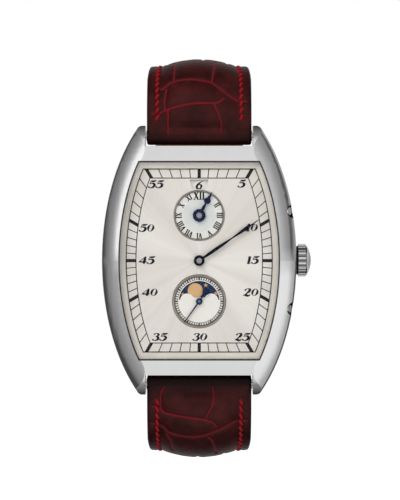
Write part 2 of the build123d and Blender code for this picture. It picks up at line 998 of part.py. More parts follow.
with BuildPart() as dial:
    add(
        tonneau_prism(
            cavity_half_width - body_gap,
            cavity_ellipse_z - body_gap,
            cavity_half_length - body_gap,
            dial_low,
            dial_face,
        )
    )
    add(disc(hour_dish_radius, dial_face - dish_depth, dial_face, hour_axis), mode=Mode.SUBTRACT)
    add(
        disc(seconds_dish_radius, dial_face - dish_depth, dial_face, seconds_axis),
        mode=Mode.SUBTRACT,
    )
    for axis_place, outer, inner in (
        (hour_axis, hour_ring_radius, hour_dish_radius),
        (seconds_axis, seconds_ring_radius, seconds_dish_radius),
    ):
        add(
            ring(outer + fit_gap, inner - fit_gap, dial_face - ring_sink, dial_face, axis_place),
            mode=Mode.SUBTRACT,
        )
    with BuildSketch(level(dial_low)):
        Circle(center_hole_radius)
        with Locations(hour_axis):
            Circle(hour_hole_radius)
        with Locations(seconds_axis):
            Circle(seconds_hole_radius)
        add(moon_window())
        add(date_window())
    extrude(amount=dial_thick, mode=Mode.SUBTRACT)
dial.part.label = "dial"
export_step(dial.part, "parts/dial.step")


def bevel_ring(outer, inner, center):
    """Applied ring let into the dial, with both upper edges broken."""
    with BuildPart() as hoop:
        add(ring(outer, inner, dial_face - ring_sink, dial_face + ring_height, center))
        chamfer(
            hoop.faces().sort_by(Axis.Y)[0].edges(),
            length=(outer - inner) * ring_bevel_share,
        )
    return hoop.part


with BuildPart() as hour_ring:
    add(bevel_ring(hour_ring_radius, hour_dish_radius, hour_axis))
hour_ring.part.label = "hour_dial_ring"
export_step(hour_ring.part, "parts/hour_dial_ring.step")

with BuildPart() as seconds_ring:
    add(bevel_ring(seconds_ring_radius, seconds_dish_radius, seconds_axis))
seconds_ring.part.label = "seconds_dial_ring"
export_step(seconds_ring.part, "parts/seconds_dial_ring.step")


# Movement carrier, main plate and bridges

works_level = plate_high + works_lower_gap
date_low = dial_low - disc_gap - disc_thick

with BuildPart() as carrier:
    add(
        tonneau_prism(
            cavity_half_width - body_gap,
            cavity_ellipse_z - body_gap,
            cavity_half_length - body_gap,
            bridge_low,
            plate_high,
        )
    )
    add(disc(movement_radius + fit_gap, bridge_low, plate_high), mode=Mode.SUBTRACT)
    with BuildSketch(across_plane(0)):
        with Locations((0, stem_height)):
            Circle(crown_tube_radius + body_gap)
    extrude(amount=cavity_half_width, mode=Mode.SUBTRACT)
carrier.part.label = "movement_ring"
export_step(carrier.part, "parts/movement_ring.step")

center_recess_radius = center_module * center_wheel_teeth / 2 + body_gap + center_module

with BuildPart() as main_plate:
    add(disc(movement_radius, plate_low, plate_high))
    add(
        disc(center_recess_radius, plate_low, plate_low + center_recess_depth),
        mode=Mode.SUBTRACT,
    )
    add(
        disc(
            center_module * third_pinion_teeth / 2 + center_module + body_gap,
            plate_low,
            plate_low + center_recess_depth,
            third_axis,
        ),
        mode=Mode.SUBTRACT,
    )
    add(
        block(
            lever_x - body_gap,
            lever_x + lever_thick + crown_pull + body_gap,
            lever_half + body_gap,
            plate_low,
            lever_high + body_gap,
        ),
        mode=Mode.SUBTRACT,
    )
    with BuildSketch(level(plate_low)):
        Circle(center_post_radius + running_gap)
        with Locations(seconds_axis):
            Circle(arbor_radius + running_gap)
        with Locations(third_axis, escape_axis, pallet_axis, balance_axis, barrel_axis):
            Circle(pivot_radius + running_gap)
    extrude(amount=plate_thick, mode=Mode.SUBTRACT)
    with BuildSketch(level(plate_low)):
        with Locations(*bridge_screw_places):
            Circle(bridge_screw_radius + fit_gap)
    extrude(amount=bridge_screw_depth - wheel_room, mode=Mode.SUBTRACT)
    with BuildSketch(across_plane(stem_inner_x - overrun)):
        with Locations((0, stem_height)):
            Circle(stem_radius + stem_hole_gap)
    extrude(amount=movement_radius, mode=Mode.SUBTRACT)
main_plate.part.label = "main_plate"
export_step(main_plate.part, "parts/main_plate.step")

# Bridges, jewels and screws

pallet_bridge_low = bridge_high + jewel_recess
cock_low = bridge_low
cock_high = cock_low + cock_thick
jewel_places = (third_axis, seconds_axis, escape_axis)
ratchet_pocket_radius = ratchet_module * ratchet_teeth / 2 + ratchet_module + body_gap
ratchet_low = bridge_low + ratchet_air
ratchet_pocket_depth = ratchet_air + ratchet_thick + ratchet_air

with BuildPart() as train_bridge:
    add(disc(bridge_radius, bridge_low, bridge_high))
    add(ring(bridge_radius, bridge_radius - bridge_rim_width, bridge_high, plate_low))
    with BuildSketch(level(bridge_low)):
        with Locations(balance_axis):
            Circle(balance_radius + balance_cut_gap)
        with Locations(cock_foot):
            Circle(cock_foot_radius + body_gap + cock_foot_radius)
        Polygon(balance_axis, cock_foot, polar(2 * bridge_radius, bridge_cut_angle), align=None)
    extrude(amount=plate_low - bridge_low, mode=Mode.SUBTRACT)
    add(
        disc(ratchet_pocket_radius, bridge_low, bridge_low + ratchet_pocket_depth, barrel_axis),
        mode=Mode.SUBTRACT,
    )
    with BuildSketch(level(bridge_low)):
        with Locations(*jewel_places):
            Circle(jewel_radius + fit_gap)
        with Locations(barrel_axis):
            Circle(stub_radius + running_gap)
        with Locations(*bridge_screw_places):
            Circle(bridge_screw_radius + fit_gap)
    extrude(amount=bridge_thick, mode=Mode.SUBTRACT)
    with BuildSketch(level(bridge_low)):
        with Locations(*bridge_screw_places):
            Circle(bridge_screw_head_radius + fit_gap)
    extrude(amount=bridge_screw_head_height, mode=Mode.SUBTRACT)
    add(
        disc(pivot_radius + running_gap, bridge_high - jewel_radius / 2, bridge_high),
        mode=Mode.SUBTRACT,
    )
train_bridge.part.label = "train_bridge"
export_step(train_bridge.part, "parts/train_bridge.step")

with BuildPart() as balance_cock:
    with BuildSketch(level(cock_low)):
        with Locations(balance_axis):
            Circle(cock_width / 2)
        with Locations(cock_foot):
            Circle(cock_foot_radius)
        SlotCenterPoint(
            (
                (balance_axis[0] + cock_foot[0]) / 2,
                (balance_axis[1] + cock_foot[1]) / 2,
            ),
            cock_foot,
            2 * cock_foot_radius,
        )
    extrude(amount=cock_thick)
    add(disc(cock_foot_radius, cock_high, plate_low, cock_foot))
    add(disc(jewel_radius + fit_gap, cock_low, cock_high, balance_axis), mode=Mode.SUBTRACT)
    add(
        disc(bridge_screw_radius + fit_gap, cock_low, plate_low, cock_foot),
        mode=Mode.SUBTRACT,
    )
    add(
        disc(
            bridge_screw_head_radius + fit_gap,
            cock_low,
            cock_low + bridge_screw_head_height,
            cock_foot,
        ),
        mode=Mode.SUBTRACT,
    )
balance_cock.part.label = "balance_cock"
export_step(balance_cock.part, "parts/balance_cock.step")

with BuildPart() as pallet_bridge:
    with BuildSketch(level(pallet_bridge_low)):
        SlotCenterPoint(
            ((pallet_axis[0] + pallet_foot[0]) / 2, (pallet_axis[1] + pallet_foot[1]) / 2),
            pallet_foot,
            2 * pallet_foot_radius,
        )
    extrude(amount=pallet_bridge_thick)
    add(disc(pallet_foot_radius, pallet_bridge_low, plate_low, pallet_foot))
    add(
        disc(
            pivot_radius + running_gap,
            pallet_bridge_low,
            pallet_bridge_low + pallet_bridge_thick,
            pallet_axis,
        ),
        mode=Mode.SUBTRACT,
    )
pallet_bridge.part.label = "pallet_bridge"
export_step(pallet_bridge.part, "parts/pallet_bridge.step")

with BuildPart() as jewels:
    with BuildSketch(level(bridge_low + jewel_recess)):
        with Locations(*jewel_places):
            Circle(jewel_radius)
            Circle(pivot_radius + running_gap, mode=Mode.SUBTRACT)
    extrude(amount=bridge_thick - jewel_recess)
    with BuildSketch(level(cock_low + jewel_recess)):
        with Locations(balance_axis):
            Circle(jewel_radius)
            Circle(pivot_radius + running_gap, mode=Mode.SUBTRACT)
    extrude(amount=cock_thick - jewel_recess)
jewels.part.label = "bearing_jewels"
export_step(jewels.part, "parts/bearing_jewels.step")

with BuildPart() as bridge_screws:
    with BuildSketch(level(bridge_low + fit_gap)):
        with Locations(*bridge_screw_places):
            Circle(bridge_screw_head_radius)
    extrude(amount=bridge_screw_head_height - fit_gap)
    with BuildSketch(level(bridge_low + fit_gap)):
        with Locations(*bridge_screw_places):
            Circle(bridge_screw_radius)
    extrude(amount=bridge_screw_depth)
    with BuildSketch(level(bridge_low)):
        with Locations(*bridge_screw_places):
            Rectangle(2 * bridge_screw_head_radius + overrun, screw_slot)
    extrude(amount=screw_slot, mode=Mode.SUBTRACT)
bridge_screws.part.label = "bridge_screws"
export_step(bridge_screws.part, "parts/bridge_screws.step")


# Barrel, mainspring and ratchet wheel

drum_low = bridge_high + barrel_air
drum_high = plate_low - barrel_air
drum_radius = barrel_module * barrel_teeth / 2 - 2 * barrel_module
barrel_phase, center_pinion_phase = mesh_phase(barrel_axis, center_axis, center_pinion_teeth)

with BuildPart() as barrel:
    add(disc(drum_radius, drum_low, drum_high, barrel_axis))
    add(
        gear(
            barrel_axis,
            barrel_teeth,
            barrel_module,
            barrel_phase,
            drum_high - barrel_teeth_depth,
            drum_high,
        )
    )
    add(
        disc(
            drum_radius - barrel_wall,
            drum_low + barrel_floor,
            drum_high - barrel_floor,
            barrel_axis,
        ),
        mode=Mode.SUBTRACT,
    )
    add(disc(stub_radius + running_gap, drum_low, drum_high, barrel_axis), mode=Mode.SUBTRACT)
barrel.part.label = "mainspring_barrel"
export_step(barrel.part, "parts/mainspring_barrel.step")


def spiral_points(center, inner, outer, turns, thick):
    """Outline of a flat spiral strip, out along one side and back along the other."""
    count = turns * spiral_steps
    out_side = []
    in_side = []
    for step in range(count + 1):
        reach = inner + (outer - inner) * step / count
        angle = 360 * step / spiral_steps
        out_side.append(polar(reach + thick / 2, angle, center))
        in_side.append(polar(reach - thick / 2, angle, center))
    return out_side + in_side[::-1]


with BuildPart() as mainspring:
    with BuildSketch(level(drum_low + barrel_floor + fit_gap)):
        Polygon(
            *spiral_points(
                barrel_axis,
                barrel_arbor_radius + mainspring_thick,
                drum_radius - barrel_wall - mainspring_thick,
                mainspring_turns,
                mainspring_thick,
            ),
            align=None,
        )
    extrude(amount=drum_high - drum_low - 2 * (barrel_floor + fit_gap))
mainspring.part.label = "mainspring"
export_step(mainspring.part, "parts/mainspring.step")

with BuildPart() as ratchet_wheel:
    add(
        gear(
            barrel_axis,
            ratchet_teeth,
            ratchet_module,
            0,
            ratchet_low,
            ratchet_low + ratchet_thick,
        )
    )
    add(disc(stub_radius, ratchet_low, drum_high, barrel_axis))
    add(
        disc(
            barrel_arbor_radius,
            drum_low + barrel_floor + fit_gap,
            drum_high - barrel_floor - fit_gap,
            barrel_axis,
        )
    )
    add(disc(pivot_radius, drum_high, plate_low + jewel_radius / 2, barrel_axis))
ratchet_wheel.part.label = "ratchet_wheel"
export_step(ratchet_wheel.part, "parts/ratchet_wheel.step")


# Going train

train_low = bridge_high + body_gap
third_level = train_low + jewel_recess
fourth_level = third_level + wheel_thick + 2 * body_gap
center_level = plate_low + body_gap
center_phase, third_pinion_phase = mesh_phase(center_axis, third_axis, third_pinion_teeth)
third_phase, fourth_pinion_phase = mesh_phase(third_axis, seconds_axis, fourth_pinion_teeth)
fourth_phase, escape_pinion_phase = mesh_phase(seconds_axis, escape_axis, escape_pinion_teeth)


def arbor(center, low, high, low_pivot, high_pivot):
    """Round arbor with a thin pivot at each end."""
    with BuildPart() as axle:
        add(disc(arbor_radius, low, high, center))
        add(disc(pivot_radius, low - low_pivot, high + high_pivot, center))
    return axle.part


with BuildPart() as center_wheel:
    add(
        gear(
            center_axis,
            center_wheel_teeth,
            center_module,
            center_phase,
            center_level,
            center_level + wheel_thick,
            spokes=spoke_count,
        )
    )
    add(
        gear(
            center_axis,
            center_pinion_teeth,
            barrel_module,
            center_pinion_phase,
            drum_high - barrel_teeth_depth - body_gap,
            center_level,
        )
    )
    add(disc(arbor_radius, train_low, drum_high, center_axis))
    add(disc(pivot_radius, train_low - pivot_length, train_low, center_axis))
    add(disc(center_post_radius, center_level, works_level + works_wheel_thick, center_axis))
center_wheel.part.label = "center_wheel"
export_step(center_wheel.part, "parts/center_wheel.step")

with BuildPart() as third_wheel:
    add(
        gear(
            third_axis,
            third_wheel_teeth,
            third_module,
            third_phase,
            third_level,
            third_level + wheel_thick,
            spokes=spoke_count,
        )
    )
    add(
        gear(
            third_axis,
            third_pinion_teeth,
            center_module,
            third_pinion_phase,
            fourth_level,
            center_level + 2 * wheel_thick,
        )
    )
    add(
        arbor(
            third_axis,
            train_low,
            center_level + 2 * wheel_thick,
            pivot_length,
            pivot_length + body_gap,
        )
    )
third_wheel.part.label = "third_wheel"
export_step(third_wheel.part, "parts/third_wheel.step")

seconds_hand_low = dial_face + seconds_hand_air

with BuildPart() as fourth_wheel:
    add(
        gear(
            seconds_axis,
            fourth_wheel_teeth,
            fourth_module,
            fourth_phase,
            fourth_level,
            fourth_level + wheel_thick,
            spokes=spoke_count,
        )
    )
    add(
        gear(
            seconds_axis,
            fourth_pinion_teeth,
            third_module,
            fourth_pinion_phase,
            train_low,
            fourth_level - body_gap,
        )
    )
    add(disc(arbor_radius, train_low, seconds_hand_low + hand_thick, seconds_axis))
    add(disc(pivot_radius, train_low - pivot_length, train_low, seconds_axis))
fourth_wheel.part.label = "fourth_wheel"
export_step(fourth_wheel.part, "parts/fourth_wheel.step")

escape_level = third_level + body_gap


def escape_points():
    points = []
    step = 360 / escape_teeth
    for tooth in range(escape_teeth):
        angle = tooth * step
        points.append(polar(escape_wheel_radius, angle, escape_axis))
        points.append(polar(escape_root_radius, angle + step * escape_root_start_share, escape_axis))
        points.append(polar(escape_root_radius, angle + step * escape_root_end_share, escape_axis))
    return points


with BuildPart() as escape_wheel:
    with BuildSketch(level(escape_level)):
        Polygon(*escape_points(), align=None)
        with Locations(escape_axis):
            Circle(escape_root_radius - rim_width, mode=Mode.SUBTRACT)
            Circle(hub_radius)
            with PolarLocations(escape_root_radius / 2, spoke_count - 1):
                Rectangle(escape_root_radius, spoke_width)
    extrude(amount=wheel_thick)
    add(
        gear(
            escape_axis,
            escape_pinion_teeth,
            fourth_module,
            escape_pinion_phase,
            escape_level,
            fourth_level + wheel_thick + body_gap,
        )
    )
    add(arbor(escape_axis, train_low, plate_low - body_gap, pivot_length, pivot_length + body_gap))
escape_wheel.part.label = "escape_wheel"
export_step(escape_wheel.part, "parts/escape_wheel.step")


# Pallet fork

def fork_point(along, aside):
    """Point measured from the pallet axis, along the line to the balance and beside it."""
    turn = math.radians(pallet_angle)
    return (
        pallet_axis[0] + along * math.cos(turn) - aside * math.sin(turn),
        pallet_axis[1] + along * math.sin(turn) + aside * math.cos(turn),
    )


pallet_level = pallet_bridge_low + pallet_bridge_thick + body_gap
stone_reach = pallet_reach - math.sqrt(
    (escape_wheel_radius + stone_gap) ** 2 - (pallet_arm_half - stone_half) ** 2
)

with BuildPart() as pallet_fork:
    with BuildSketch(level(pallet_level)):
        Polygon(
            fork_point(-pallet_width / 2, -pallet_arm_half),
            fork_point(-pallet_width / 2, pallet_arm_half),
            fork_point(pallet_width / 2, pallet_arm_half),
            fork_point(pallet_width / 2, pallet_width / 2),
            fork_point(pallet_fork_length - fork_prong, pallet_width / 2),
            fork_point(pallet_fork_length - fork_prong, pallet_width),
            fork_point(pallet_fork_length, pallet_width),
            fork_point(pallet_fork_length, fork_notch_half),
            fork_point(pallet_fork_length - fork_prong / 2, fork_notch_half),
            fork_point(pallet_fork_length - fork_prong / 2, -fork_notch_half),
            fork_point(pallet_fork_length, -fork_notch_half),
            fork_point(pallet_fork_length, -pallet_width),
            fork_point(pallet_fork_length - fork_prong, -pallet_width),
            fork_point(pallet_fork_length - fork_prong, -pallet_width / 2),
            fork_point(pallet_width / 2, -pallet_width / 2),
            fork_point(pallet_width / 2, -pallet_arm_half),
            align=None,
        )
        for side in (1, -1):
            Polygon(
                fork_point(0, side * pallet_arm_half),
                fork_point(-stone_reach, side * pallet_arm_half),
                fork_point(-stone_reach, side * (pallet_arm_half - 2 * stone_half)),
                fork_point(0, side * (pallet_arm_half - 2 * stone_half)),
                align=None,
            )
    extrude(amount=pallet_thick)
    add(
        arbor(
            pallet_axis,
            pallet_level,
            plate_low - body_gap,
            body_gap + pallet_bridge_thick / 2,
            pivot_length + body_gap,
        )
    )
pallet_fork.part.label = "pallet_fork"
export_step(pallet_fork.part, "parts/pallet_fork.step")


# Balance and hairspring

hairspring_low = cock_high + fit_gap
balance_low = hairspring_low + hairspring_height + fit_gap
roller_low = balance_low + balance_thick + 2 * body_gap

with BuildPart() as balance_wheel:
    with BuildSketch(level(balance_low)):
        with Locations(balance_axis):
            Circle(balance_radius)
            Circle(balance_radius - balance_rim, mode=Mode.SUBTRACT)
            Rectangle(2 * balance_radius - balance_rim, balance_arm_width)
            Circle(hub_radius)
    extrude(amount=balance_thick)
    add(disc(balance_staff_radius, cock_high + fit_gap, plate_low - body_gap, balance_axis))
    add(disc(pivot_radius, cock_low + body_gap, plate_low + pivot_length, balance_axis))
    add(disc(roller_radius, roller_low, roller_low + pallet_thick, balance_axis))
balance_wheel.part.label = "balance_wheel"
export_step(balance_wheel.part, "parts/balance_wheel.step")

with BuildPart() as hairspring:
    with BuildSketch(level(hairspring_low)):
        Polygon(
            *spiral_points(
                balance_axis,
                hairspring_inner,
                hairspring_outer,
                hairspring_turns,
                hairspring_thick,
            ),
            align=None,
        )
    extrude(amount=hairspring_height - fit_gap)
hairspring.part.label = "hairspring"
export_step(hairspring.part, "parts/hairspring.step")


# Rotor and its bearing

def sector(outer, inner, span, low, high):
    """Part of a ring, centred on 6 o'clock."""
    start = -90 - span / 2
    with BuildPart() as slice_part:
        with BuildSketch(level(low)):
            with BuildLine():
                CenterArc((0, 0), outer, start, span)
                CenterArc((0, 0), inner, start, span)
                Line(polar(outer, start), polar(inner, start))
                Line(polar(outer, start + span), polar(inner, start + span))
            make_face()
        extrude(amount=high - low)
    return slice_part.part


with BuildPart() as rotor:
    add(sector(rotor_radius, rotor_radius - rotor_rim_width, rotor_span, rotor_low, rotor_high))
    add(
        sector(
            rotor_radius - rotor_rim_width,
            bearing_radius + fit_gap,
            rotor_span,
            rotor_low + rotor_rim_drop,
            rotor_low + rotor_rim_drop + rotor_web_thick,
        )
    )
    add(disc(rotor_hub_radius, rotor_low + rotor_rim_drop, rotor_high - rotor_rim_drop))
    add(disc(bearing_radius + running_gap, rotor_low, rotor_high), mode=Mode.SUBTRACT)
rotor.part.label = "winding_rotor"
export_step(rotor.part, "parts/winding_rotor.step")

with BuildPart() as rotor_bearing:
    add(disc(bearing_radius, rotor_low, bridge_low))
    add(disc(bearing_flange_radius, rotor_low - running_gap, rotor_low + rotor_rim_drop / 2))
    add(disc(bearing_flange_radius, rotor_high, bridge_low))
    with BuildSketch(level(rotor_low - running_gap)):
        Rectangle(2 * bearing_radius, screw_slot)
    extrude(amount=screw_slot, mode=Mode.SUBTRACT)
rotor_bearing.part.label = "rotor_bearing"
export_step(rotor_bearing.part, "parts/rotor_bearing.step")


# Motion works, calendar disc and moon disc

minute_hand_low = dial_face + minute_hand_air
hour_hand_low = dial_face + hour_hand_air
upper_works = works_level + works_step
post_top = dial_low - body_gap
cannon_phase, minute_wheel_phase = mesh_phase(center_axis, minute_wheel_axis, minute_wheel_teeth)
minute_pinion_phase, hour_wheel_phase = mesh_phase(minute_wheel_axis, hour_axis, hour_wheel_teeth)

with BuildPart() as works_posts:
    add(disc(post_radius, plate_high, post_top, minute_wheel_axis))
    add(disc(hour_post_radius, plate_high, dial_face, hour_axis))
    add(
        ring(
            moon_pipe_radius - running_gap,
            arbor_radius + running_gap,
            plate_high,
            post_top,
            seconds_axis,
        )
    )
works_posts.part.label = "motion_work_posts"
export_step(works_posts.part, "parts/motion_work_posts.step")

with BuildPart() as cannon_pinion:
    add(
        gear(
            center_axis,
            cannon_teeth,
            works_module,
            cannon_phase,
            works_level,
            works_level + works_wheel_thick,
        )
    )
    add(disc(cannon_radius, works_level, minute_hand_low, center_axis))
    add(
        disc(
            center_post_radius + running_gap,
            works_level,
            works_level + works_wheel_thick + running_gap,
            center_axis,
        ),
        mode=Mode.SUBTRACT,
    )
cannon_pinion.part.label = "cannon_pinion"
export_step(cannon_pinion.part, "parts/cannon_pinion.step")

with BuildPart() as minute_wheel:
    add(
        gear(
            minute_wheel_axis,
            minute_wheel_teeth,
            works_module,
            minute_wheel_phase,
            works_level,
            works_level + works_wheel_thick,
            spokes=spoke_count - 1,
        )
    )
    add(
        gear(
            minute_wheel_axis,
            minute_pinion_teeth,
            works_module,
            minute_pinion_phase,
            works_level,
            upper_works + works_wheel_thick,
        )
    )
    add(
        disc(post_radius + running_gap, works_level, dial_low, minute_wheel_axis),
        mode=Mode.SUBTRACT,
    )
minute_wheel.part.label = "minute_wheel"
export_step(minute_wheel.part, "parts/minute_wheel.step")

with BuildPart() as hour_wheel:
    add(
        gear(
            hour_axis,
            hour_wheel_teeth,
            works_module,
            hour_wheel_phase,
            upper_works,
            upper_works + works_wheel_thick,
            spokes=spoke_count - 1,
        )
    )
    add(disc(cannon_radius, upper_works, hour_hand_low, hour_axis))
    add(
        disc(hour_post_radius + running_gap, upper_works, dial_face + running_gap, hour_axis),
        mode=Mode.SUBTRACT,
    )
hour_wheel.part.label = "hour_wheel"
export_step(hour_wheel.part, "parts/hour_wheel.step")


def date_ring_points():
    """Inner edge of the date ring with one notch for each day."""
    points = []
    step = 360 / date_teeth
    tooth_end, notch_start, notch_end = date_notch_shares
    for tooth in range(date_teeth):
        angle = tooth * step
        points.append(polar(date_disc_inner, angle))
        points.append(polar(date_disc_inner, angle + step * tooth_end))
        points.append(polar(date_disc_inner + date_notch_depth, angle + step * notch_start))
        points.append(polar(date_disc_inner + date_notch_depth, angle + step * notch_end))
    return points


with BuildPart() as date_disc:
    with BuildSketch(level(date_low)):
        Circle(date_disc_outer)
        Polygon(*date_ring_points(), align=None, mode=Mode.SUBTRACT)
    extrude(amount=disc_thick)
date_disc.part.label = "date_disc"
export_step(date_disc.part, "parts/date_disc.step")

with BuildPart() as moon_disc:
    add(ring(moon_disc_radius, moon_pipe_radius, date_low, date_low + disc_thick, seconds_axis))
moon_disc.part.label = "moon_disc"
export_step(moon_disc.part, "parts/moon_disc.step")


# Hands

def hand_point(center, clock_angle, reach, aside=0):
    """Point along a hand, its angle counted clockwise from 12 as the wearer sees it."""
    turn = math.radians(clock_angle)
    return (
        center[0] + reach * math.sin(turn) + aside * math.cos(turn),
        center[1] + reach * math.cos(turn) - aside * math.sin(turn),
    )


def mirrored_outline(center, clock_angle, shape):
    """Closed outline from (reach, half width) pairs, the same on both sides."""
    right = [hand_point(center, clock_angle, reach, half) for reach, half in shape]
    left = [hand_point(center, clock_angle, reach, -half) for reach, half in reversed(shape)]
    return right + left


def leaf(center, clock_angle, near, wide, far):
    """Stretch of a hand with arched sides, each through three (reach, half width) pairs."""
    right, left = [
        [hand_point(center, clock_angle, reach, side * half) for reach, half in (near, wide, far)]
        for side in (1, -1)
    ]
    with BuildSketch() as blade:
        with BuildLine():
            ThreePointArc(*right)
            Line(right[-1], left[-1])
            ThreePointArc(*reversed(left))
            Line(left[0], right[0])
        make_face()
    return blade.sketch


with BuildPart() as minute_hand:
    with BuildSketch(level(minute_hand_low)):
        add(
            leaf(
                center_axis,
                minute_hand_angle,
                (cap_radius, minute_neck_half),
                (minute_leaf_reach, minute_leaf_half),
                (minute_waist_reach, minute_waist_half),
            )
        )
        Polygon(
            *mirrored_outline(
                center_axis,
                minute_hand_angle,
                (
                    (minute_leaf_reach, minute_waist_half),
                    (minute_waist_reach, minute_waist_half),
                    (minute_spade_reach, minute_spade_half),
                    (minute_spade_end, minute_needle_half),
                    (minute_hand_length, tip_half),
                ),
            ),
            align=None,
        )
        Circle(minute_hub_radius)
        Circle(cap_radius, mode=Mode.SUBTRACT)
    extrude(amount=hand_thick)
minute_hand.part.label = "minute_hand"
export_step(minute_hand.part, "parts/minute_hand.step")

with BuildPart() as minute_cap:
    add(disc(cap_radius - fit_gap, minute_hand_low, minute_hand_low + cap_height + fit_gap, center_axis))
minute_cap.part.label = "minute_hand_cap"
export_step(minute_cap.part, "parts/minute_hand_cap.step")

with BuildPart() as hour_hand:
    with BuildSketch(level(hour_hand_low)):
        add(
            leaf(
                hour_axis,
                hour_hand_angle,
                (cap_radius, hour_neck_half),
                (hour_leaf_reach, hour_leaf_half),
                (hour_waist_reach, hour_waist_half),
            )
        )
        Polygon(
            *mirrored_outline(
                hour_axis,
                hour_hand_angle,
                (
                    (hour_leaf_reach, hour_waist_half),
                    (hour_bulb_reach, hour_waist_half),
                    (hour_spire_reach, hour_spire_half),
                    (hour_hand_length, tip_half),
                ),
            ),
            align=None,
        )
        with Locations(hour_axis):
            Circle(hour_hub_radius)
            Circle(cap_radius, mode=Mode.SUBTRACT)
        with Locations(hand_point(hour_axis, hour_hand_angle, hour_bulb_reach)):
            Circle(hour_bulb_radius)
    extrude(amount=hand_thick)
hour_hand.part.label = "hour_hand"
export_step(hour_hand.part, "parts/hour_hand.step")

with BuildPart() as hour_cap:
    add(disc(cap_radius - fit_gap, hour_hand_low, hour_hand_low + cap_height + fit_gap, hour_axis))
hour_cap.part.label = "hour_hand_cap"
export_step(hour_cap.part, "parts/hour_hand_cap.step")

with BuildPart() as seconds_hand:
    with BuildSketch(level(seconds_hand_low)):
        Polygon(
            *mirrored_outline(
                seconds_axis,
                seconds_hand_angle,
                (
                    (-seconds_eye_reach, seconds_neck_half),
                    (0, seconds_pointer_half),
                    (seconds_hand_length, seconds_tip_half),
                ),
            ),
            align=None,
        )
        with Locations(seconds_axis):
            Circle(seconds_hub_radius)
        with Locations(hand_point(seconds_axis, seconds_hand_angle, -seconds_eye_reach)):
            Circle(seconds_eye_radius)
            Circle(seconds_eye_hole, mode=Mode.SUBTRACT)
        with Locations(seconds_axis):
            Circle(arbor_radius + fit_gap / 2, mode=Mode.SUBTRACT)
    extrude(amount=hand_thick)
seconds_hand.part.label = "seconds_hand"
export_step(seconds_hand.part, "parts/seconds_hand.step")


# Crown, stem and keyless pieces

stem_end_x = crown_inner_x + crown_flute_length + body_gap

with BuildPart() as stem:
    add(rod(stem_radius, stem_inner_x, stem_end_x, stem_height))
    add(
        rod(stem_radius, lever_x - running_gap, lever_x + lever_thick + running_gap, stem_height),
        mode=Mode.SUBTRACT,
    )
    add(rod(stem_groove_radius, lever_x - running_gap, lever_x + lever_thick + running_gap, stem_height))
stem.part.label = "winding_stem"
export_step(stem.part, "parts/winding_stem.step")

with BuildPart() as lever:
    add(block(lever_x, lever_x + lever_thick, lever_half, lever_low, lever_high))
    add(
        rod(stem_groove_radius + running_gap, lever_x, lever_x + lever_thick, stem_height),
        mode=Mode.SUBTRACT,
    )
    add(
        block(
            lever_x,
            lever_x + lever_thick,
            stem_groove_radius + running_gap,
            stem_height,
            lever_high,
        ),
        mode=Mode.SUBTRACT,
    )
lever.part.label = "setting_lever"
export_step(lever.part, "parts/setting_lever.step")

with BuildPart() as crown_tube:
    add(rod(crown_tube_radius - fit_gap, crown_tube_inner_x, crown_tube_outer_x, stem_height))
    add(
        rod(stem_radius + running_gap, crown_tube_inner_x, crown_tube_outer_x, stem_height),
        mode=Mode.SUBTRACT,
    )
crown_tube.part.label = "crown_tube"
export_step(crown_tube.part, "parts/crown_tube.step")

crown_bore_depth = crown_tube_outer_x - crown_inner_x + body_gap

dome_rim = crown_radius - crown_dome_step
dome_sphere = (dome_rim ** 2 + crown_dome_height ** 2) / (2 * crown_dome_height)
dome_half_angle = math.asin(dome_rim / dome_sphere) / 2

with BuildPart() as crown_dome:
    with BuildSketch(Plane(origin=(0, -stem_height, 0), x_dir=(1, 0, 0), z_dir=(0, 0, -1))):
        with BuildLine():
            base_x = crown_inner_x + crown_flute_length / 2
            shoulder_x = crown_outer_x - crown_dome_height
            Polyline((base_x, 0), (base_x, dome_rim), (shoulder_x, dome_rim))
            ThreePointArc(
                (shoulder_x, dome_rim),
                (
                    crown_outer_x - dome_sphere * (1 - math.cos(dome_half_angle)),
                    dome_sphere * math.sin(dome_half_angle),
                ),
                (crown_outer_x, 0),
            )
            Line((crown_outer_x, 0), (base_x, 0))
        make_face()
    revolve(axis=Axis(origin=(0, -stem_height, 0), direction=(1, 0, 0)))

with BuildPart() as crown:
    add(rod(crown_radius, crown_inner_x, crown_inner_x + crown_flute_length, stem_height))
    with BuildSketch(across_plane(crown_inner_x)):
        with Locations((0, stem_height)):
            with PolarLocations(crown_radius, crown_flutes):
                Circle(crown_flute_radius)
    extrude(amount=crown_flute_length, mode=Mode.SUBTRACT)
    add(crown_dome.part)
    add(
        rod(
            crown_gasket_radius + fit_gap,
            crown_inner_x,
            crown_inner_x + crown_bore_depth,
            stem_height,
        ),
        mode=Mode.SUBTRACT,
    )
    add(
        rod(stem_radius + fit_gap / 2, crown_inner_x, stem_end_x, stem_height),
        mode=Mode.SUBTRACT,
    )
crown.part.label = "crown"
export_step(crown.part, "parts/crown.step")

with BuildPart() as crown_gasket:
    gasket_x = crown_inner_x + body_gap
    add(rod(crown_gasket_radius, gasket_x, gasket_x + crown_gasket_thick, stem_height))
    add(
        rod(
            crown_tube_radius + fit_gap,
            gasket_x,
            gasket_x + crown_gasket_thick,
            stem_height,
        ),
        mode=Mode.SUBTRACT,
    )
crown_gasket.part.label = "crown_gasket"
export_step(crown_gasket.part, "parts/crown_gasket.step")


# Correctors in the flank

def corrector(z):
    """Push piece that stands a little out of the floor of its dish."""
    floor = corrector_plane(z).offset(-corrector_dish_depth + corrector_proud)
    with BuildPart() as button:
        with BuildSketch(floor):
            Circle(corrector_radius)
        extrude(amount=-(corrector_length - corrector_dish_depth - 2 * corrector_stroke))
        chamfer(button.faces().sort_by(Axis.X)[-1].edges(), length=corrector_proud / 2)
    return button.part


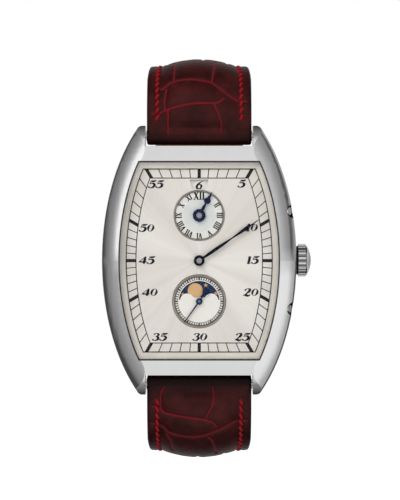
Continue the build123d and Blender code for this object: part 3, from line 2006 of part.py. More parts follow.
with BuildPart() as high_corrector:
    add(corrector(corrector_high_z))
high_corrector.part.label = "date_corrector"
export_step(high_corrector.part, "parts/date_corrector.step")

with BuildPart() as low_corrector:
    add(corrector(corrector_low_z))
low_corrector.part.label = "moon_corrector"
export_step(low_corrector.part, "parts/moon_corrector.step")


# Spring bars

def spring_bar(sign):
    with BuildPart() as pin:
        with BuildSketch(side_plane(sign)):
            with Locations((bar_z, bar_height)):
                Circle(bar_radius)
        extrude(amount=lug_inner_half_gap - body_gap, both=True)
        with BuildSketch(side_plane(sign)):
            with Locations((bar_z, bar_height)):
                Circle(bar_tip_radius)
        extrude(amount=lug_inner_half_gap + bar_tip_length, both=True)
    return pin.part


for sign, bar_name in ((1, "upper_spring_bar"), (-1, "lower_spring_bar")):
    with BuildPart() as bar_pin:
        add(spring_bar(sign))
    bar_pin.part.label = bar_name
    export_step(bar_pin.part, f"parts/{bar_name}.step")


# Strap halves, each a run of straight and round stretches seen from the side

def walk(start, turn, stretches):
    """Ends of the stretches as (point, heading); headings turn back towards the wrist."""
    place = start
    heading = turn
    stops = [(place, heading)]
    for kind, size, bend in stretches:
        angle = math.radians(heading)
        if kind == "line":
            place = (place[0] + size * math.cos(angle), place[1] - size * math.sin(angle))
        else:
            middle = (place[0] - size * math.sin(angle), place[1] - size * math.cos(angle))
            heading = heading + bend
            angle = math.radians(heading)
            place = (middle[0] + size * math.sin(angle), middle[1] + size * math.cos(angle))
        stops.append((place, heading))
    return stops


def beside(stop, offset):
    """Point at an offset towards the outside of the strap."""
    (place, heading) = stop
    angle = math.radians(heading)
    return (place[0] + offset * math.sin(angle), place[1] + offset * math.cos(angle))


def run_length(stretches):
    total = 0
    for kind, size, bend in stretches:
        total = total + (size if kind == "line" else size * math.radians(bend))
    return total


def stop_at(start, turn, stretches, length):
    """Point and heading at a length along the run."""
    left = length
    taken = []
    for kind, size, bend in stretches:
        whole = size if kind == "line" else size * math.radians(bend)
        if left < whole:
            if kind == "line":
                taken.append((kind, left, 0))
            else:
                taken.append((kind, size, math.degrees(left / size)))
            break
        taken.append((kind, size, bend))
        left = left - whole
    return walk(start, turn, taken)[-1]


def band(start, turn, stretches, low, high, half_width, sign):
    """Solid between two offsets of the run, as wide as twice the half width."""
    stops = walk(start, turn, stretches)
    with BuildPart() as strip:
        with BuildSketch(side_plane(sign)):
            with BuildLine():
                for index, (kind, size, bend) in enumerate(stretches):
                    first = stops[index]
                    last = stops[index + 1]
                    for offset in (low, high):
                        if kind == "line":
                            Line(beside(first, offset), beside(last, offset))
                        else:
                            middle = walk(first[0], first[1], [(kind, size, bend / 2)])[-1]
                            ThreePointArc(
                                beside(first, offset), beside(middle, offset), beside(last, offset)
                            )
                Line(beside(stops[0], low), beside(stops[0], high))
                Line(beside(stops[-1], low), beside(stops[-1], high))
            make_face()
        extrude(amount=half_width, both=True)
    return strip.part


def strap_half_at(height):
    """Half width of the strap at a height that lies deeper than its shoulders."""
    slope = (strap_taper - strap_shoulder_taper) / (strap_taper_depth - strap_shoulder_depth)
    return strap_half_width - strap_shoulder_taper + (height + strap_shoulder_depth) * slope


def taper_wedge():
    """Solid as wide as the strap at each depth behind the lugs."""
    near = case_front_height
    far = tail_half_radius
    shoulder_half = strap_half_at(-strap_shoulder_depth)
    far_half = strap_half_at(-far)
    with BuildPart() as wedge:
        with BuildSketch(Plane.XY):
            Polygon(
                (-strap_half_width, -near),
                (strap_half_width, -near),
                (strap_half_width, 0),
                (shoulder_half, strap_shoulder_depth),
                (far_half, far),
                (-far_half, far),
                (-shoulder_half, strap_shoulder_depth),
                (-strap_half_width, 0),
                align=None,
            )
        extrude(amount=case_half_length + tail_half_radius, both=True)
    return wedge.part


strap_start = (bar_z, bar_height)
bend_stretches = [("line", strap_straight, 0), ("arc", strap_bend_radius, strap_bend_turn)]
buckle_stretches = bend_stretches + [
    ("arc", buckle_half_radius, buckle_half_turn),
    ("line", buckle_half_straight, 0),
]
tail_stretches = bend_stretches + [
    ("arc", tail_half_radius, tail_pad_turn),
    ("arc", tail_half_radius, tail_plain_turn),
]
lining_start = bar_radius + strap_lining_thick
wedge_solid = taper_wedge()


def cylinder_across(place, radius, half_width, sign):
    """Round bar across the strap at a point seen from the side."""
    with BuildPart() as roll:
        with BuildSketch(side_plane(sign)):
            with Locations(place):
                Circle(radius)
        extrude(amount=half_width, both=True)
    return roll.part


def pad(stretches, sign):
    """Crowned middle of a strap half, turned about the middle of each of its bends."""
    stop = walk(strap_start, 0, bend_stretches[:1])[-1]
    half = strap_half_width - strap_pad_edge
    low = strap_outer_thick
    with BuildPart() as hump:
        for kind, size, bend in stretches:
            (place, heading) = stop
            angle = math.radians(heading)
            bend_middle = (0, -beside(stop, -size)[1], sign * beside(stop, -size)[0])
            section = Plane(
                origin=(0, -place[1], sign * place[0]),
                x_dir=(1, 0, 0),
                z_dir=(0, -sign * math.sin(angle), -math.cos(angle)),
            )
            rise = Vector(0, -math.cos(angle), sign * math.sin(angle)).dot(section.y_dir)
            with BuildSketch(section):
                with BuildLine():
                    ThreePointArc(
                        (-half, low * rise), (0, (low + strap_pad_thick) * rise), (half, low * rise)
                    )
                    Polyline(
                        (half, low * rise), (half, low / 2 * rise), (-half, low / 2 * rise),
                        (-half, low * rise),
                    )
                make_face()
            revolve(axis=Axis(origin=bend_middle, direction=(-sign, 0, 0)), revolution_arc=bend)
            stop = walk(stop[0], stop[1], [(kind, size, bend)])[-1]
    return hump.part


buckle_pad_stretches = buckle_stretches[1:3]
tail_pad_stretches = tail_stretches[1:3]
buckle_stop = walk(strap_start, 0, buckle_stretches)[-1]
buckle_run = run_length(buckle_stretches)
tail_run = run_length(tail_stretches)
buckle_heading = math.radians(buckle_stop[1])
buckle_along = (0, math.sin(buckle_heading), math.cos(buckle_heading))
buckle_normal = (0, -math.cos(buckle_heading), math.sin(buckle_heading))
buckle_origin = (0, -buckle_stop[0][1], buckle_stop[0][0])
buckle_side = Plane(origin=buckle_origin, x_dir=buckle_along, z_dir=(1, 0, 0))
buckle_flat = Plane(origin=buckle_origin, x_dir=(1, 0, 0), z_dir=buckle_normal)
tongue_notch_half = tongue_width / 2 + keeper_side_gap
tongue_notch_back = buckle_eye_radius + keeper_strap_gap


def lining_stretches(stretches, end_gap):
    """The run without its first stretch about the bar, and without its end."""
    first = ("line", strap_straight - lining_start, 0)
    kind, size, bend = stretches[-1]
    if kind == "line":
        last = (kind, size - end_gap, 0)
    else:
        last = (kind, size, bend - math.degrees(end_gap / size))
    return [first] + stretches[1:-1] + [last]


lining_first = walk(strap_start, 0, [("line", lining_start, 0)])[-1]

with BuildPart() as upper_strap:
    add(band(strap_start, 0, buckle_stretches, 0, strap_outer_thick, case_half_width, 1))
    add(cylinder_across(strap_start, strap_eye_radius, case_half_width, 1))
    add(cylinder_across(buckle_stop[0], buckle_eye_radius, case_half_width, 1))
    add(wedge_solid, mode=Mode.INTERSECT)
    add(pad(buckle_pad_stretches, 1))
    add(
        cylinder_across(strap_start, bar_radius + running_gap, case_half_width, 1),
        mode=Mode.SUBTRACT,
    )
    add(
        cylinder_across(buckle_stop[0], buckle_bar_radius + running_gap, case_half_width, 1),
        mode=Mode.SUBTRACT,
    )
    with BuildSketch(buckle_flat):
        Rectangle(2 * tongue_notch_half, 2 * tongue_notch_back)
    extrude(amount=2 * buckle_eye_radius, both=True, mode=Mode.SUBTRACT)
upper_strap.part.label = "upper_strap_leather"
export_step(upper_strap.part, "parts/upper_strap_leather.step")

with BuildPart() as upper_lining:
    add(
        band(
            lining_first[0],
            lining_first[1],
            lining_stretches(buckle_stretches, tongue_notch_back + body_gap),
            -strap_lining_thick,
            0,
            case_half_width,
            1,
        )
    )
    add(wedge_solid, mode=Mode.INTERSECT)
upper_lining.part.label = "upper_strap_lining"
export_step(upper_lining.part, "parts/upper_strap_lining.step")


tail_tip_radius = strap_half_at(walk(strap_start, 0, tail_stretches)[-1][0][1])


def tail_frame(length):
    """Plane on the tail half at a length from its bar, square to the leather."""
    (place, heading) = stop_at(strap_start, 0, tail_stretches, length)
    angle = math.radians(heading)
    return Plane(
        origin=(0, -place[1], -place[0]),
        x_dir=(-1, 0, 0),
        z_dir=(0, -math.cos(angle), -math.sin(angle)),
    )


hole_lengths = [tail_run - hole_from_tip - index * hole_pitch for index in range(hole_count)]
strap_cut_reach = strap_outer_thick + strap_lining_thick + overrun


def tail_cuts(solid):
    """Cut the adjusting holes and round the tip of the tail half."""
    with BuildPart() as cut_solid:
        add(solid)
        for length in hole_lengths:
            with BuildSketch(tail_frame(length)):
                Circle(hole_radius)
            extrude(amount=strap_cut_reach, both=True, mode=Mode.SUBTRACT)
        with BuildSketch(tail_frame(tail_run - tail_tip_radius)):
            with Locations((0, tail_tip_radius)):
                Rectangle(2 * case_half_width, 2 * tail_tip_radius)
            Circle(tail_tip_radius, mode=Mode.SUBTRACT)
        extrude(amount=strap_cut_reach, both=True, mode=Mode.SUBTRACT)
    return cut_solid.part


with BuildPart() as lower_strap:
    add(band(strap_start, 0, tail_stretches, 0, strap_outer_thick, case_half_width, -1))
    add(cylinder_across(strap_start, strap_eye_radius, case_half_width, -1))
    add(wedge_solid, mode=Mode.INTERSECT)
    add(pad(tail_pad_stretches, -1))
    add(
        cylinder_across(strap_start, bar_radius + running_gap, case_half_width, -1),
        mode=Mode.SUBTRACT,
    )
lower_leather = tail_cuts(lower_strap.part)
lower_leather.label = "lower_strap_leather"
export_step(lower_leather, "parts/lower_strap_leather.step")

with BuildPart() as lower_lining_blank:
    add(
        band(
            lining_first[0],
            lining_first[1],
            lining_stretches(tail_stretches, 0),
            -strap_lining_thick,
            0,
            case_half_width,
            -1,
        )
    )
    add(wedge_solid, mode=Mode.INTERSECT)
lower_lining = tail_cuts(lower_lining_blank.part)
lower_lining.label = "lower_strap_lining"
export_step(lower_lining, "parts/lower_strap_lining.step")


# Keepers, buckle and tongue

def keeper(back_from_buckle):
    """Closed loop about the strap, centred on a distance back from the buckle's bar."""
    near = stop_at(
        strap_start, 0, buckle_stretches, buckle_run - back_from_buckle - keeper_width / 2
    )
    widest = strap_half_at(near[0][1] + keeper_travel) + keeper_side_gap
    inner_low = -strap_outer_thick - keeper_strap_gap - keeper_tail_room
    inner_high = strap_lining_thick + keeper_strap_gap
    middle = (inner_low + inner_high) / 2
    height = inner_high - inner_low
    with BuildPart() as loop:
        with BuildSketch(
            Plane(
                origin=(0, -near[0][1], near[0][0]),
                x_dir=(1, 0, 0),
                z_dir=buckle_along,
            )
        ):
            with Locations((0, middle)):
                RectangleRounded(
                    2 * (widest + keeper_wall), height + 2 * keeper_wall, radius=2 * keeper_wall
                )
                RectangleRounded(2 * widest, height, radius=keeper_wall, mode=Mode.SUBTRACT)
        extrude(amount=keeper_width)
    return loop.part


with BuildPart() as fixed_keeper:
    add(keeper(fixed_keeper_at))
fixed_keeper.part.label = "fixed_keeper"
export_step(fixed_keeper.part, "parts/fixed_keeper.step")

with BuildPart() as sliding_keeper:
    add(keeper(sliding_keeper_at))
sliding_keeper.part.label = "sliding_keeper"
export_step(sliding_keeper.part, "parts/sliding_keeper.step")

tongue_low = buckle_thick / 2 - tongue_notch_depth + tongue_lift
tongue_end = buckle_reach + buckle_rail / 2


def across_buckle(radius, half_length):
    with BuildPart() as bar_part:
        with BuildSketch(buckle_side):
            Circle(radius)
        extrude(amount=half_length, both=True)
    return bar_part.part


with BuildPart() as buckle_frame:
    with BuildSketch(buckle_flat.offset(-buckle_thick / 2)) as frame_plan:
        with Locations((0, (buckle_reach + buckle_rail) / 2)):
            Rectangle(2 * (buckle_inner_half + buckle_rail), buckle_reach + buckle_rail)
        fillet(frame_plan.vertices().group_by(Axis.Y)[-1], radius=buckle_corner)
        with Locations((0, buckle_reach / 2 - overrun)):
            Rectangle(2 * buckle_inner_half, buckle_reach + 2 * overrun, mode=Mode.SUBTRACT)
    extrude(amount=buckle_thick)
    add(across_buckle(buckle_eye_radius, buckle_inner_half + buckle_rail))
    add(across_buckle(buckle_eye_radius + overrun, buckle_inner_half), mode=Mode.SUBTRACT)
    add(
        across_buckle(buckle_tip_radius + fit_gap, buckle_inner_half + buckle_tip_reach + body_gap),
        mode=Mode.SUBTRACT,
    )
    with BuildSketch(buckle_flat.offset(buckle_thick / 2 - tongue_notch_depth)):
        with Locations((0, buckle_reach + buckle_rail / 2)):
            Rectangle(tongue_width + 2 * tongue_lift, buckle_rail + 2 * overrun)
    extrude(amount=buckle_thick, mode=Mode.SUBTRACT)
buckle_frame.part.label = "buckle_frame"
export_step(buckle_frame.part, "parts/buckle_frame.step")

with BuildPart() as buckle_bar:
    add(across_buckle(buckle_bar_radius, buckle_inner_half - body_gap))
    add(across_buckle(buckle_tip_radius, buckle_inner_half + buckle_tip_reach))
buckle_bar.part.label = "buckle_bar"
export_step(buckle_bar.part, "parts/buckle_bar.step")

with BuildPart() as tongue:
    with BuildSketch(buckle_side):
        Circle(tongue_low + tongue_thick)
        with Locations((tongue_end / 2, tongue_low + tongue_thick / 2)):
            Rectangle(tongue_end, tongue_thick)
    extrude(amount=tongue_width / 2, both=True)
    add(across_buckle(buckle_bar_radius + running_gap, tongue_width), mode=Mode.SUBTRACT)
    fillet(
        tongue.edges()
        .filter_by(Axis.X)
        .sort_by_distance(
            buckle_flat.from_local_coords((0, tongue_end, tongue_low + tongue_thick))
        )[:1],
        radius=tongue_thick * tongue_round_share,
    )
tongue.part.label = "buckle_tongue"
export_step(tongue.part, "parts/buckle_tongue.step")
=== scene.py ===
import math
import random

import bmesh
import bpy
import numpy as np
from mathutils import Matrix, Vector, noise


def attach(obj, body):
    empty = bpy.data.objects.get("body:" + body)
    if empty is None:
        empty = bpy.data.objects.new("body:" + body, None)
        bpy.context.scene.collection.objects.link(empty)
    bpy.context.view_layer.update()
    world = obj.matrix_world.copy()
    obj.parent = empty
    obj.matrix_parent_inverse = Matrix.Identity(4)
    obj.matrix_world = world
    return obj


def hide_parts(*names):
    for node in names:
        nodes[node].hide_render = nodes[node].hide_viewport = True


# The looks of the tonneau wristwatch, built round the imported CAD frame.
# World frame: +Z to 12 o'clock, +X to the crown, -Y out of the dial, in metres.
# Lengths here are in millimetres and turned to metres in at(); a height h is at y = -h.

MM = 0.001
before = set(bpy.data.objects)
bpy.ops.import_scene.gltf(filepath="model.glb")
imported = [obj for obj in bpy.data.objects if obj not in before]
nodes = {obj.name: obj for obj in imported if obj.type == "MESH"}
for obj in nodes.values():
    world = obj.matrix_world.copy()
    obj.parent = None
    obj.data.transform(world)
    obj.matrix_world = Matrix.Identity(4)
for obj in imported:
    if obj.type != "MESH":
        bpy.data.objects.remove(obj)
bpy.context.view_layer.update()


def at(x, h, z):
    """A point in the world from millimetres and a height above the case back."""
    return (x * MM, -h * MM, z * MM)


# Node materials

PER_MM = (1 / MM,) * 3


class Nodes:
    """Short calls for the nodes of one material, or of the world."""

    def __init__(self, tree):
        self.tree = tree

    def set(self, socket, value):
        """Sets a plain number or colour on a socket, or links another socket to it."""
        if isinstance(value, bpy.types.NodeSocket):
            self.tree.links.new(value, socket)
        elif socket.type == "RGBA":
            socket.default_value = (*value, 1.0)
        else:
            socket.default_value = value

    def node(self, kind, given=(), **settings):
        """A new node with its settings, and with values for its inputs by name or number."""
        made = self.tree.nodes.new(kind)
        for key, value in settings.items():
            setattr(made, key, value)
        for key, value in dict(given).items():
            self.set(made.inputs[key], value)
        return made

    def math(self, operation, first, second=0.0):
        return self.node("ShaderNodeMath", {0: first, 1: second}, operation=operation).outputs[0]

    def distance(self, first, second):
        """The length of two values at right angles."""
        squares = [self.math("MULTIPLY", value, value) for value in (first, second)]
        return self.math("SQRT", self.math("ADD", *squares))

    def spread(self, value, low, high, start=0.0, end=1.0):
        """Maps a value from start..end to low..high."""
        given = {"Value": value, "From Min": start, "From Max": end, "To Min": low, "To Max": high}
        return self.node("ShaderNodeMapRange", given).outputs[0]

    def ramp(self, value, *stops):
        """A colour ramp of (place, colour) stops."""
        made = self.node("ShaderNodeValToRGB", {0: value})
        points = made.color_ramp.elements
        for where, _ in stops[1:-1]:
            points.new(where)
        for point, (where, colour) in zip(points, stops):
            point.position, point.color = where, (*colour, 1.0)
        return made.outputs[0]

    def mixed(self, share, first, second):
        given = {0: share, 6: first, 7: second}
        return self.node("ShaderNodeMix", given, data_type="RGBA").outputs[2]

    def either(self, share, first, second):
        """One shader or another by a share."""
        return self.node("ShaderNodeMixShader", {0: share, 1: first, 2: second}).outputs[0]

    def split(self, place):
        return self.node("ShaderNodeSeparateXYZ", {0: place}).outputs


class Look(Nodes):
    """A Principled material over the object's own coordinates."""

    def __init__(self, name, colour, rough, metal=0.0, **more):
        self.mat = bpy.data.materials.new(name)
        self.mat.use_nodes = True
        super().__init__(self.mat.node_tree)
        self.shader = self.tree.nodes["Principled BSDF"]
        self.put(Base_Color=colour, Roughness=rough, Metallic=metal, **more)
        self.place = self.node("ShaderNodeTexCoord").outputs["Object"]

    def put(self, **values):
        for key, value in values.items():
            self.set(self.shader.inputs[key.replace("_", " ")], value)

    def ends_in(self, shader):
        self.set(self.tree.nodes["Material Output"].inputs["Surface"], shader)

    def stretched(self, scale, offset=(0, 0, 0)):
        """The object's coordinates, scaled by a number per metre along each axis, then moved."""
        given = {"Vector": self.place, "Scale": scale, "Location": offset}
        return self.node("ShaderNodeMapping", given).outputs[0]

    def noise(self, place, scale, detail, rough):
        given = {"Vector": place, "Scale": scale, "Detail": detail, "Roughness": rough}
        return self.node("ShaderNodeTexNoise", given).outputs["Fac"]

    def grain(self, size, detail=3.0, rough=0.55):
        """Noise with features of about this size in millimetres, from 0 to 1."""
        return self.noise(self.place, 1.0 / (size * MM), detail, rough)

    def bump(self, height, depth):
        """A bump of this depth in millimetres."""
        given = {"Height": height, "Distance": depth * MM, "Strength": 1.0}
        self.put(Normal=self.node("ShaderNodeBump", given).outputs[0])

    def centred(self, x, z):
        """(distance in millimetres, angle in radians) about an axis along Y."""
        px, _, pz = self.split(self.stretched(PER_MM, (-x, 0, -z)))
        return self.distance(px, pz), self.math("ARCTAN2", pz, px)

    def tinted(self, share, colour):
        """Mixes a colour into the base colour that is there."""
        base = self.shader.inputs["Base Color"].links[0].from_socket
        self.put(Base_Color=self.mixed(share, base, colour))


def metal(name, colour, rough, fine, rough_spread, tone, scratch, stretch=(1, 1, 1)):
    """A worked metal: tone and gloss that vary a little, and fine hairlines."""
    look = Look(name, colour, rough, 1.0)
    lines = look.noise(look.stretched(tuple(s / (fine * MM) for s in stretch)), 1.0, 4.0, 0.6)
    low, high = (tuple(min(1.0, c * share) for c in colour) for share in (1 - tone, 1 + tone))
    look.put(
        Base_Color=look.ramp(look.grain(4.0, 2.0), (0.3, low), (0.7, high)),
        Roughness=look.spread(lines, rough - rough_spread / 2, rough + rough_spread / 2, 0.3, 0.7),
    )
    look.bump(lines, scratch)
    return look


def coarse_print(name, colour, rough=0.45):
    """Printed or lacquered colour with a faint unevenness."""
    look = Look(name, colour, rough, Specular_IOR_Level=0.15)
    speck = look.grain(0.12, 2.0)
    pale = tuple(min(1.0, c * 1.25 + 0.004) for c in colour)
    look.put(
        Base_Color=look.ramp(speck, (0.35, colour), (0.75, pale)),
        Roughness=look.spread(speck, rough - 0.05, rough + 0.08),
    )
    return look


SHADOW = (0.03, 0.03, 0.03)
# Painted shade darkens the polished steel in these two corrector dishes
DISHES = [(15.52, 8.2), (15.55, -8.0)]
DISH_H, DISH_TILT = 7.0, math.radians(32.0)
DISH_OUT, DISH_SOFT, DISH_INNER_END = 1.22, 0.05, (-3.0, -2.9)
# Painted shade on the crown's flute valleys, on the line where they end and on the rim of its cap
CROWN_H, FLUTE_END, JOIN_HALF = 4.65, 17.85, 0.08
FLUTE_LOW, FLUTE_HIGH = 2.46, 2.62
CAP_START, CAP_END = 18.15, 18.6
CAP_SHARE, JOIN_SHARE = 0.75, 0.8


def shade_dishes(look):
    """Painted shade on the walls of the two dishes of the correctors, by the distance from their axes."""
    for x, z in DISHES:
        px, py, pz = look.split(look.stretched(PER_MM, (-x, DISH_H, -z)))
        side = look.math("MULTIPLY", px, math.sin(DISH_TILT))
        side = look.math("ADD", side, look.math("MULTIPLY", py, math.cos(DISH_TILT)))
        near = look.spread(look.distance(side, pz), 1.0, 0.0, DISH_OUT - DISH_SOFT, DISH_OUT)
        outward = look.spread(px, 0.0, 1.0, *DISH_INNER_END)
        look.tinted(look.math("MULTIPLY", near, outward), SHADOW)


def shade_flutes(look):
    """Painted shade on the crown: dark valleys between its flutes, a dark line beside its cap and a darker
    rim on the cap.
    """
    px, py, pz = look.split(look.stretched(PER_MM, (0, CROWN_H, 0)))
    valley = look.spread(look.distance(py, pz), 1.0, 0.0, FLUTE_LOW, FLUTE_HIGH)
    look.tinted(look.math("MULTIPLY", valley, look.math("LESS_THAN", px, FLUTE_END)), SHADOW)
    look.tinted(look.spread(px, 0.0, CAP_SHARE, CAP_START, CAP_END), SHADOW)
    from_join = look.math("ABSOLUTE", look.math("SUBTRACT", px, FLUTE_END))
    look.tinted(look.math("MULTIPLY", look.math("LESS_THAN", from_join, JOIN_HALF), JOIN_SHARE), SHADOW)


# Each metal: name, colour, roughness, size of its lines in millimetres, spread of the roughness,
# spread of the tone, depth of its lines and how they stretch
METALS = {
    "polished_steel": ("steel_polished", (0.93, 0.93, 0.94), 0.035, 1.4, 0.02, 0.015, 0.0008),
    "small_steel": ("steel_small", (0.80, 0.80, 0.81), 0.10, 0.5, 0.05, 0.02, 0.0004),
    "cap_steel": ("steel_caps", (0.42, 0.41, 0.41), 0.20, 0.5, 0.05, 0.02, 0.0004),
    "crown_steel": ("steel_crown", (0.84, 0.84, 0.85), 0.10, 0.5, 0.05, 0.02, 0.0004),
    "brushed_steel": ("steel_brushed", (0.72, 0.72, 0.73), 0.30, 0.06, 0.14, 0.06, 0.002, (1, 0.04, 1)),
    "rhodium_plate": ("rhodium_striped", (0.70, 0.70, 0.71), 0.28, 0.08, 0.10, 0.04, 0.001, (1, 0.2, 1)),
    "gilt_brass": ("gilt_wheels", (0.83, 0.60, 0.30), 0.24, 0.05, 0.10, 0.08, 0.001),
    "blued_steel": ("blued_steel", (0.008, 0.022, 0.080), 0.22, 0.1, 0.10, 0.25, 0.0006),
    # the same blued steel made darker for the minute hand: painted shade
    "shaded_blued_steel": ("blued_steel_painted_shade", (0.003, 0.006, 0.020), 0.25, 0.1, 0.10, 0.25, 0.0006),
    "flange_silver": ("flange_silver", (0.80, 0.76, 0.69), 0.42, 0.08, 0.1, 0.06, 0.001),
    "bronze_ring": ("bronze_ring", (0.52, 0.47, 0.42), 0.32, 0.08, 0.1, 0.08, 0.001),
    "grey_ring": ("grey_ring", (0.46, 0.44, 0.41), 0.30, 0.08, 0.1, 0.08, 0.001),
    "pin_blue": ("pin_blue", (0.16, 0.22, 0.34), 0.25, 0.1, 0.10, 0.1, 0.0006),
    "moon_gold": ("moon_gold", (0.90, 0.58, 0.28), 0.38, 0.1, 0.1, 0.12, 0.002),
}
# Each print: name, colour and roughness
PRINTS = {
    "seal_rubber": ("black_rubber", (0.03, 0.03, 0.03), 0.7),
    "moon_blue": ("moon_sky", (0.012, 0.030, 0.080), 0.35),
    "red_thread": ("red_thread", (0.20, 0.002, 0.006), 0.6),
    "track_print": ("track_print", (0.012, 0.010, 0.010)),
    "black_print": ("black_print", (0.004, 0.004, 0.005)),
    "navy_print": ("navy_print", (0.004, 0.004, 0.016), 0.4),
    # painted shadow, for the black ring in the gap beside the crown
    "gap_shadow_black": ("gap_shadow_black", (0.006, 0.006, 0.007), 0.5),
}
FLANGE_METAL = 0.30
STRIPE_SCALE, STRIPE_DEPTH = (150.0, 0.0, 110.0), 0.02
STRIPE_DARK, STRIPE_LIGHT = (0.50, 0.50, 0.52), (0.80, 0.80, 0.81)
RUBY_DARK, RUBY_LIGHT = (0.45, 0.01, 0.06), (0.68, 0.04, 0.14)


def stripe(look):
    """Broad slanted stripes of a decorated bridge."""
    given = {"Vector": look.stretched(STRIPE_SCALE), "Scale": 1.0, "Distortion": 0.0}
    wave = look.node("ShaderNodeTexWave", given, bands_direction="X", wave_profile="SAW").outputs["Fac"]
    look.put(
        Base_Color=look.ramp(wave, (0.0, STRIPE_DARK), (1.0, STRIPE_LIGHT)),
        Roughness=look.spread(wave, 0.34, 0.18),
    )
    look.bump(wave, STRIPE_DEPTH)


def make_looks():
    looks = {key: metal(*values) for key, values in METALS.items()}
    looks |= {key: coarse_print(*values) for key, values in PRINTS.items()}
    shade_dishes(looks["polished_steel"])
    shade_flutes(looks["crown_steel"])
    stripe(looks["rhodium_plate"])
    looks["flange_silver"].put(Metallic=FLANGE_METAL)
    ruby = Look("bearing_ruby", RUBY_DARK, 0.08, 0.0, Transmission_Weight=0.35, IOR=1.76)
    ruby.put(Base_Color=ruby.ramp(ruby.grain(0.3), (0.3, RUBY_DARK), (0.7, RUBY_LIGHT)))
    looks["bearing_ruby"] = ruby
    looks["silver_dial"] = dial_look()
    looks["sapphire"] = glass_look("sapphire_clear", 0.30, 1.4)
    looks["oxblood_leather"] = leather_look("oxblood_hide", *OXBLOOD)
    looks["lining_leather"] = leather_look("lining_hide", *LINING_HIDE)
    return looks


def glass_look(name, veil, sheen):
    """Clear sapphire: see-through, with a coated surface's faint reflection."""
    look = Look(name, (0.95, 0.97, 0.98), 0.03)
    clear = look.node("ShaderNodeBsdfTransparent").outputs[0]
    gloss = look.node("ShaderNodeBsdfGlossy", {"Roughness": look.spread(look.grain(6.0, 2.0), 0.0, 0.04)})
    fresnel = look.node("ShaderNodeFresnel", {"IOR": sheen}).outputs[0]
    look.ends_in(look.either(look.math("MULTIPLY", fresnel, veil), clear, gloss.outputs[0]))
    look.tree.nodes.remove(look.shader)
    return look


# Mesh helpers


class Soup:
    """Closed solids gathered into one mesh."""

    def __init__(self):
        self.verts, self.faces = [], []

    def add(self, verts, faces):
        base = len(self.verts)
        self.verts += verts
        self.faces += [tuple(base + i for i in f) for f in faces]
        return self

    def strip(self, left, right, low, high, closed=False):
        """A flat band between two lines of (x, z) points, from height low to high."""
        n = len(left)
        verts = [at(x, h, z) for h in (high, low) for x, z in (*left, *right)]
        faces = []
        for i in range(n if closed else n - 1):
            j = (i + 1) % n
            faces += [
                (i, j, n + j, n + i), (2 * n + i, 3 * n + i, 3 * n + j, 2 * n + j),
                (i, 2 * n + i, 2 * n + j, j), (n + i, n + j, 3 * n + j, 3 * n + i),
            ]
        if not closed:
            faces += [(0, n, 3 * n, 2 * n), (n - 1, 3 * n - 1, 4 * n - 1, 2 * n - 1)]
        self.add(verts, faces)

    def dome(self, outline, centre, low, edge, top, rings=5):
        """A plate whose upper face rises from edge to top at its centre."""
        n = len(outline)
        verts = [at(x, low, z) for x, z in outline]
        for ring in range(rings):
            share = ring / rings
            h, pull = edge + (top - edge) * math.sin(share * math.pi / 2), share ** 1.5
            verts += [at(x + (centre[0] - x) * pull, h, z + (centre[1] - z) * pull) for x, z in outline]
        verts.append(at(centre[0], top, centre[1]))
        faces = [tuple(range(n - 1, -1, -1))] + ring_faces(n, rings + 1)
        faces += [(rings * n + i, rings * n + (i + 1) % n, (rings + 1) * n) for i in range(n)]
        return self.add(verts, faces)

    def loft(self, rings, looped=False):
        """A body through rings of points with the same count, with ends or back to the first."""
        n, count = len(rings[0]), len(rings)
        faces = ring_faces(n, count, looped)
        if not looped:
            faces += [tuple(range(n)), tuple(range(n * count - 1, n * (count - 1) - 1, -1))]
        return self.add([p for ring in rings for p in ring], faces)

    def make(self, name, look, smooth_below=40.0):
        """The finished object, smooth where faces meet at less than this angle in degrees."""
        mesh = bpy.data.meshes.new(name)
        mesh.from_pydata(self.verts, [], self.faces)
        mesh.materials.append(look.mat)
        obj = bpy.data.objects.new(name, mesh)
        bpy.context.scene.collection.objects.link(obj)
        work = bmesh.new()
        work.from_mesh(mesh)
        bmesh.ops.recalc_face_normals(work, faces=work.faces)
        limit = math.radians(smooth_below)
        for edge in work.edges:
            edge.smooth = len(edge.link_faces) == 2 and edge.calc_face_angle(0.0) < limit
        for face in work.faces:
            face.smooth = True
        work.to_mesh(mesh)
        work.free()
        return obj


def ring_faces(n, count, looped=False):
    """Faces between rings of n points that follow each other, and back to the first where looped."""
    pairs = [(r * n, (r + 1) % count * n) for r in range(count if looped else count - 1)]
    return [(a + i, a + (i + 1) % n, b + (i + 1) % n, b + i) for a, b in pairs for i in range(n)]


def piece(obj, body, slot, *stands_for):
    """Puts a finished piece on its body and hides the parts that it stands for."""
    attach(obj, body)
    if stands_for:
        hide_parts(*stands_for)
    return obj


def circle_points(radius, centre=(0.0, 0.0), count=96):
    turns = [2 * math.pi * i / count for i in range(count)]
    return [(centre[0] + radius * math.cos(t), centre[1] + radius * math.sin(t)) for t in turns]


def turned(point, degrees, centre=(0.0, 0.0)):
    """A point turned clockwise, as a hand goes."""
    a = math.radians(-degrees)
    x, z = point
    return (centre[0] + x * math.cos(a) - z * math.sin(a), centre[1] + x * math.sin(a) + z * math.cos(a))


def read_points(text, unit=1.0):
    """Points from numbers with spaces between them and a comma after each point."""
    return [tuple(float(value) / unit for value in point.split()) for point in text.split(",")]


def eased(points, steps=6):
    """A smooth line through points of any number of values, by Catmull and Rom's rule."""
    pts = [np.array(p, float) for p in points]
    out, last = [], len(pts) - 1
    for i in range(last):
        p0, p1, p2, p3 = pts[max(i - 1, 0)], pts[i], pts[i + 1], pts[min(i + 2, last)]
        for k in range(steps):
            t = k / steps
            bend = (2 * p0 - 5 * p1 + 4 * p2 - p3) * t * t + (3 * p1 - p0 - 3 * p2 + p3) * t ** 3
            out.append(0.5 * (2 * p1 + (p2 - p0) * t + bend))
    return out + [pts[-1]]


# The dial

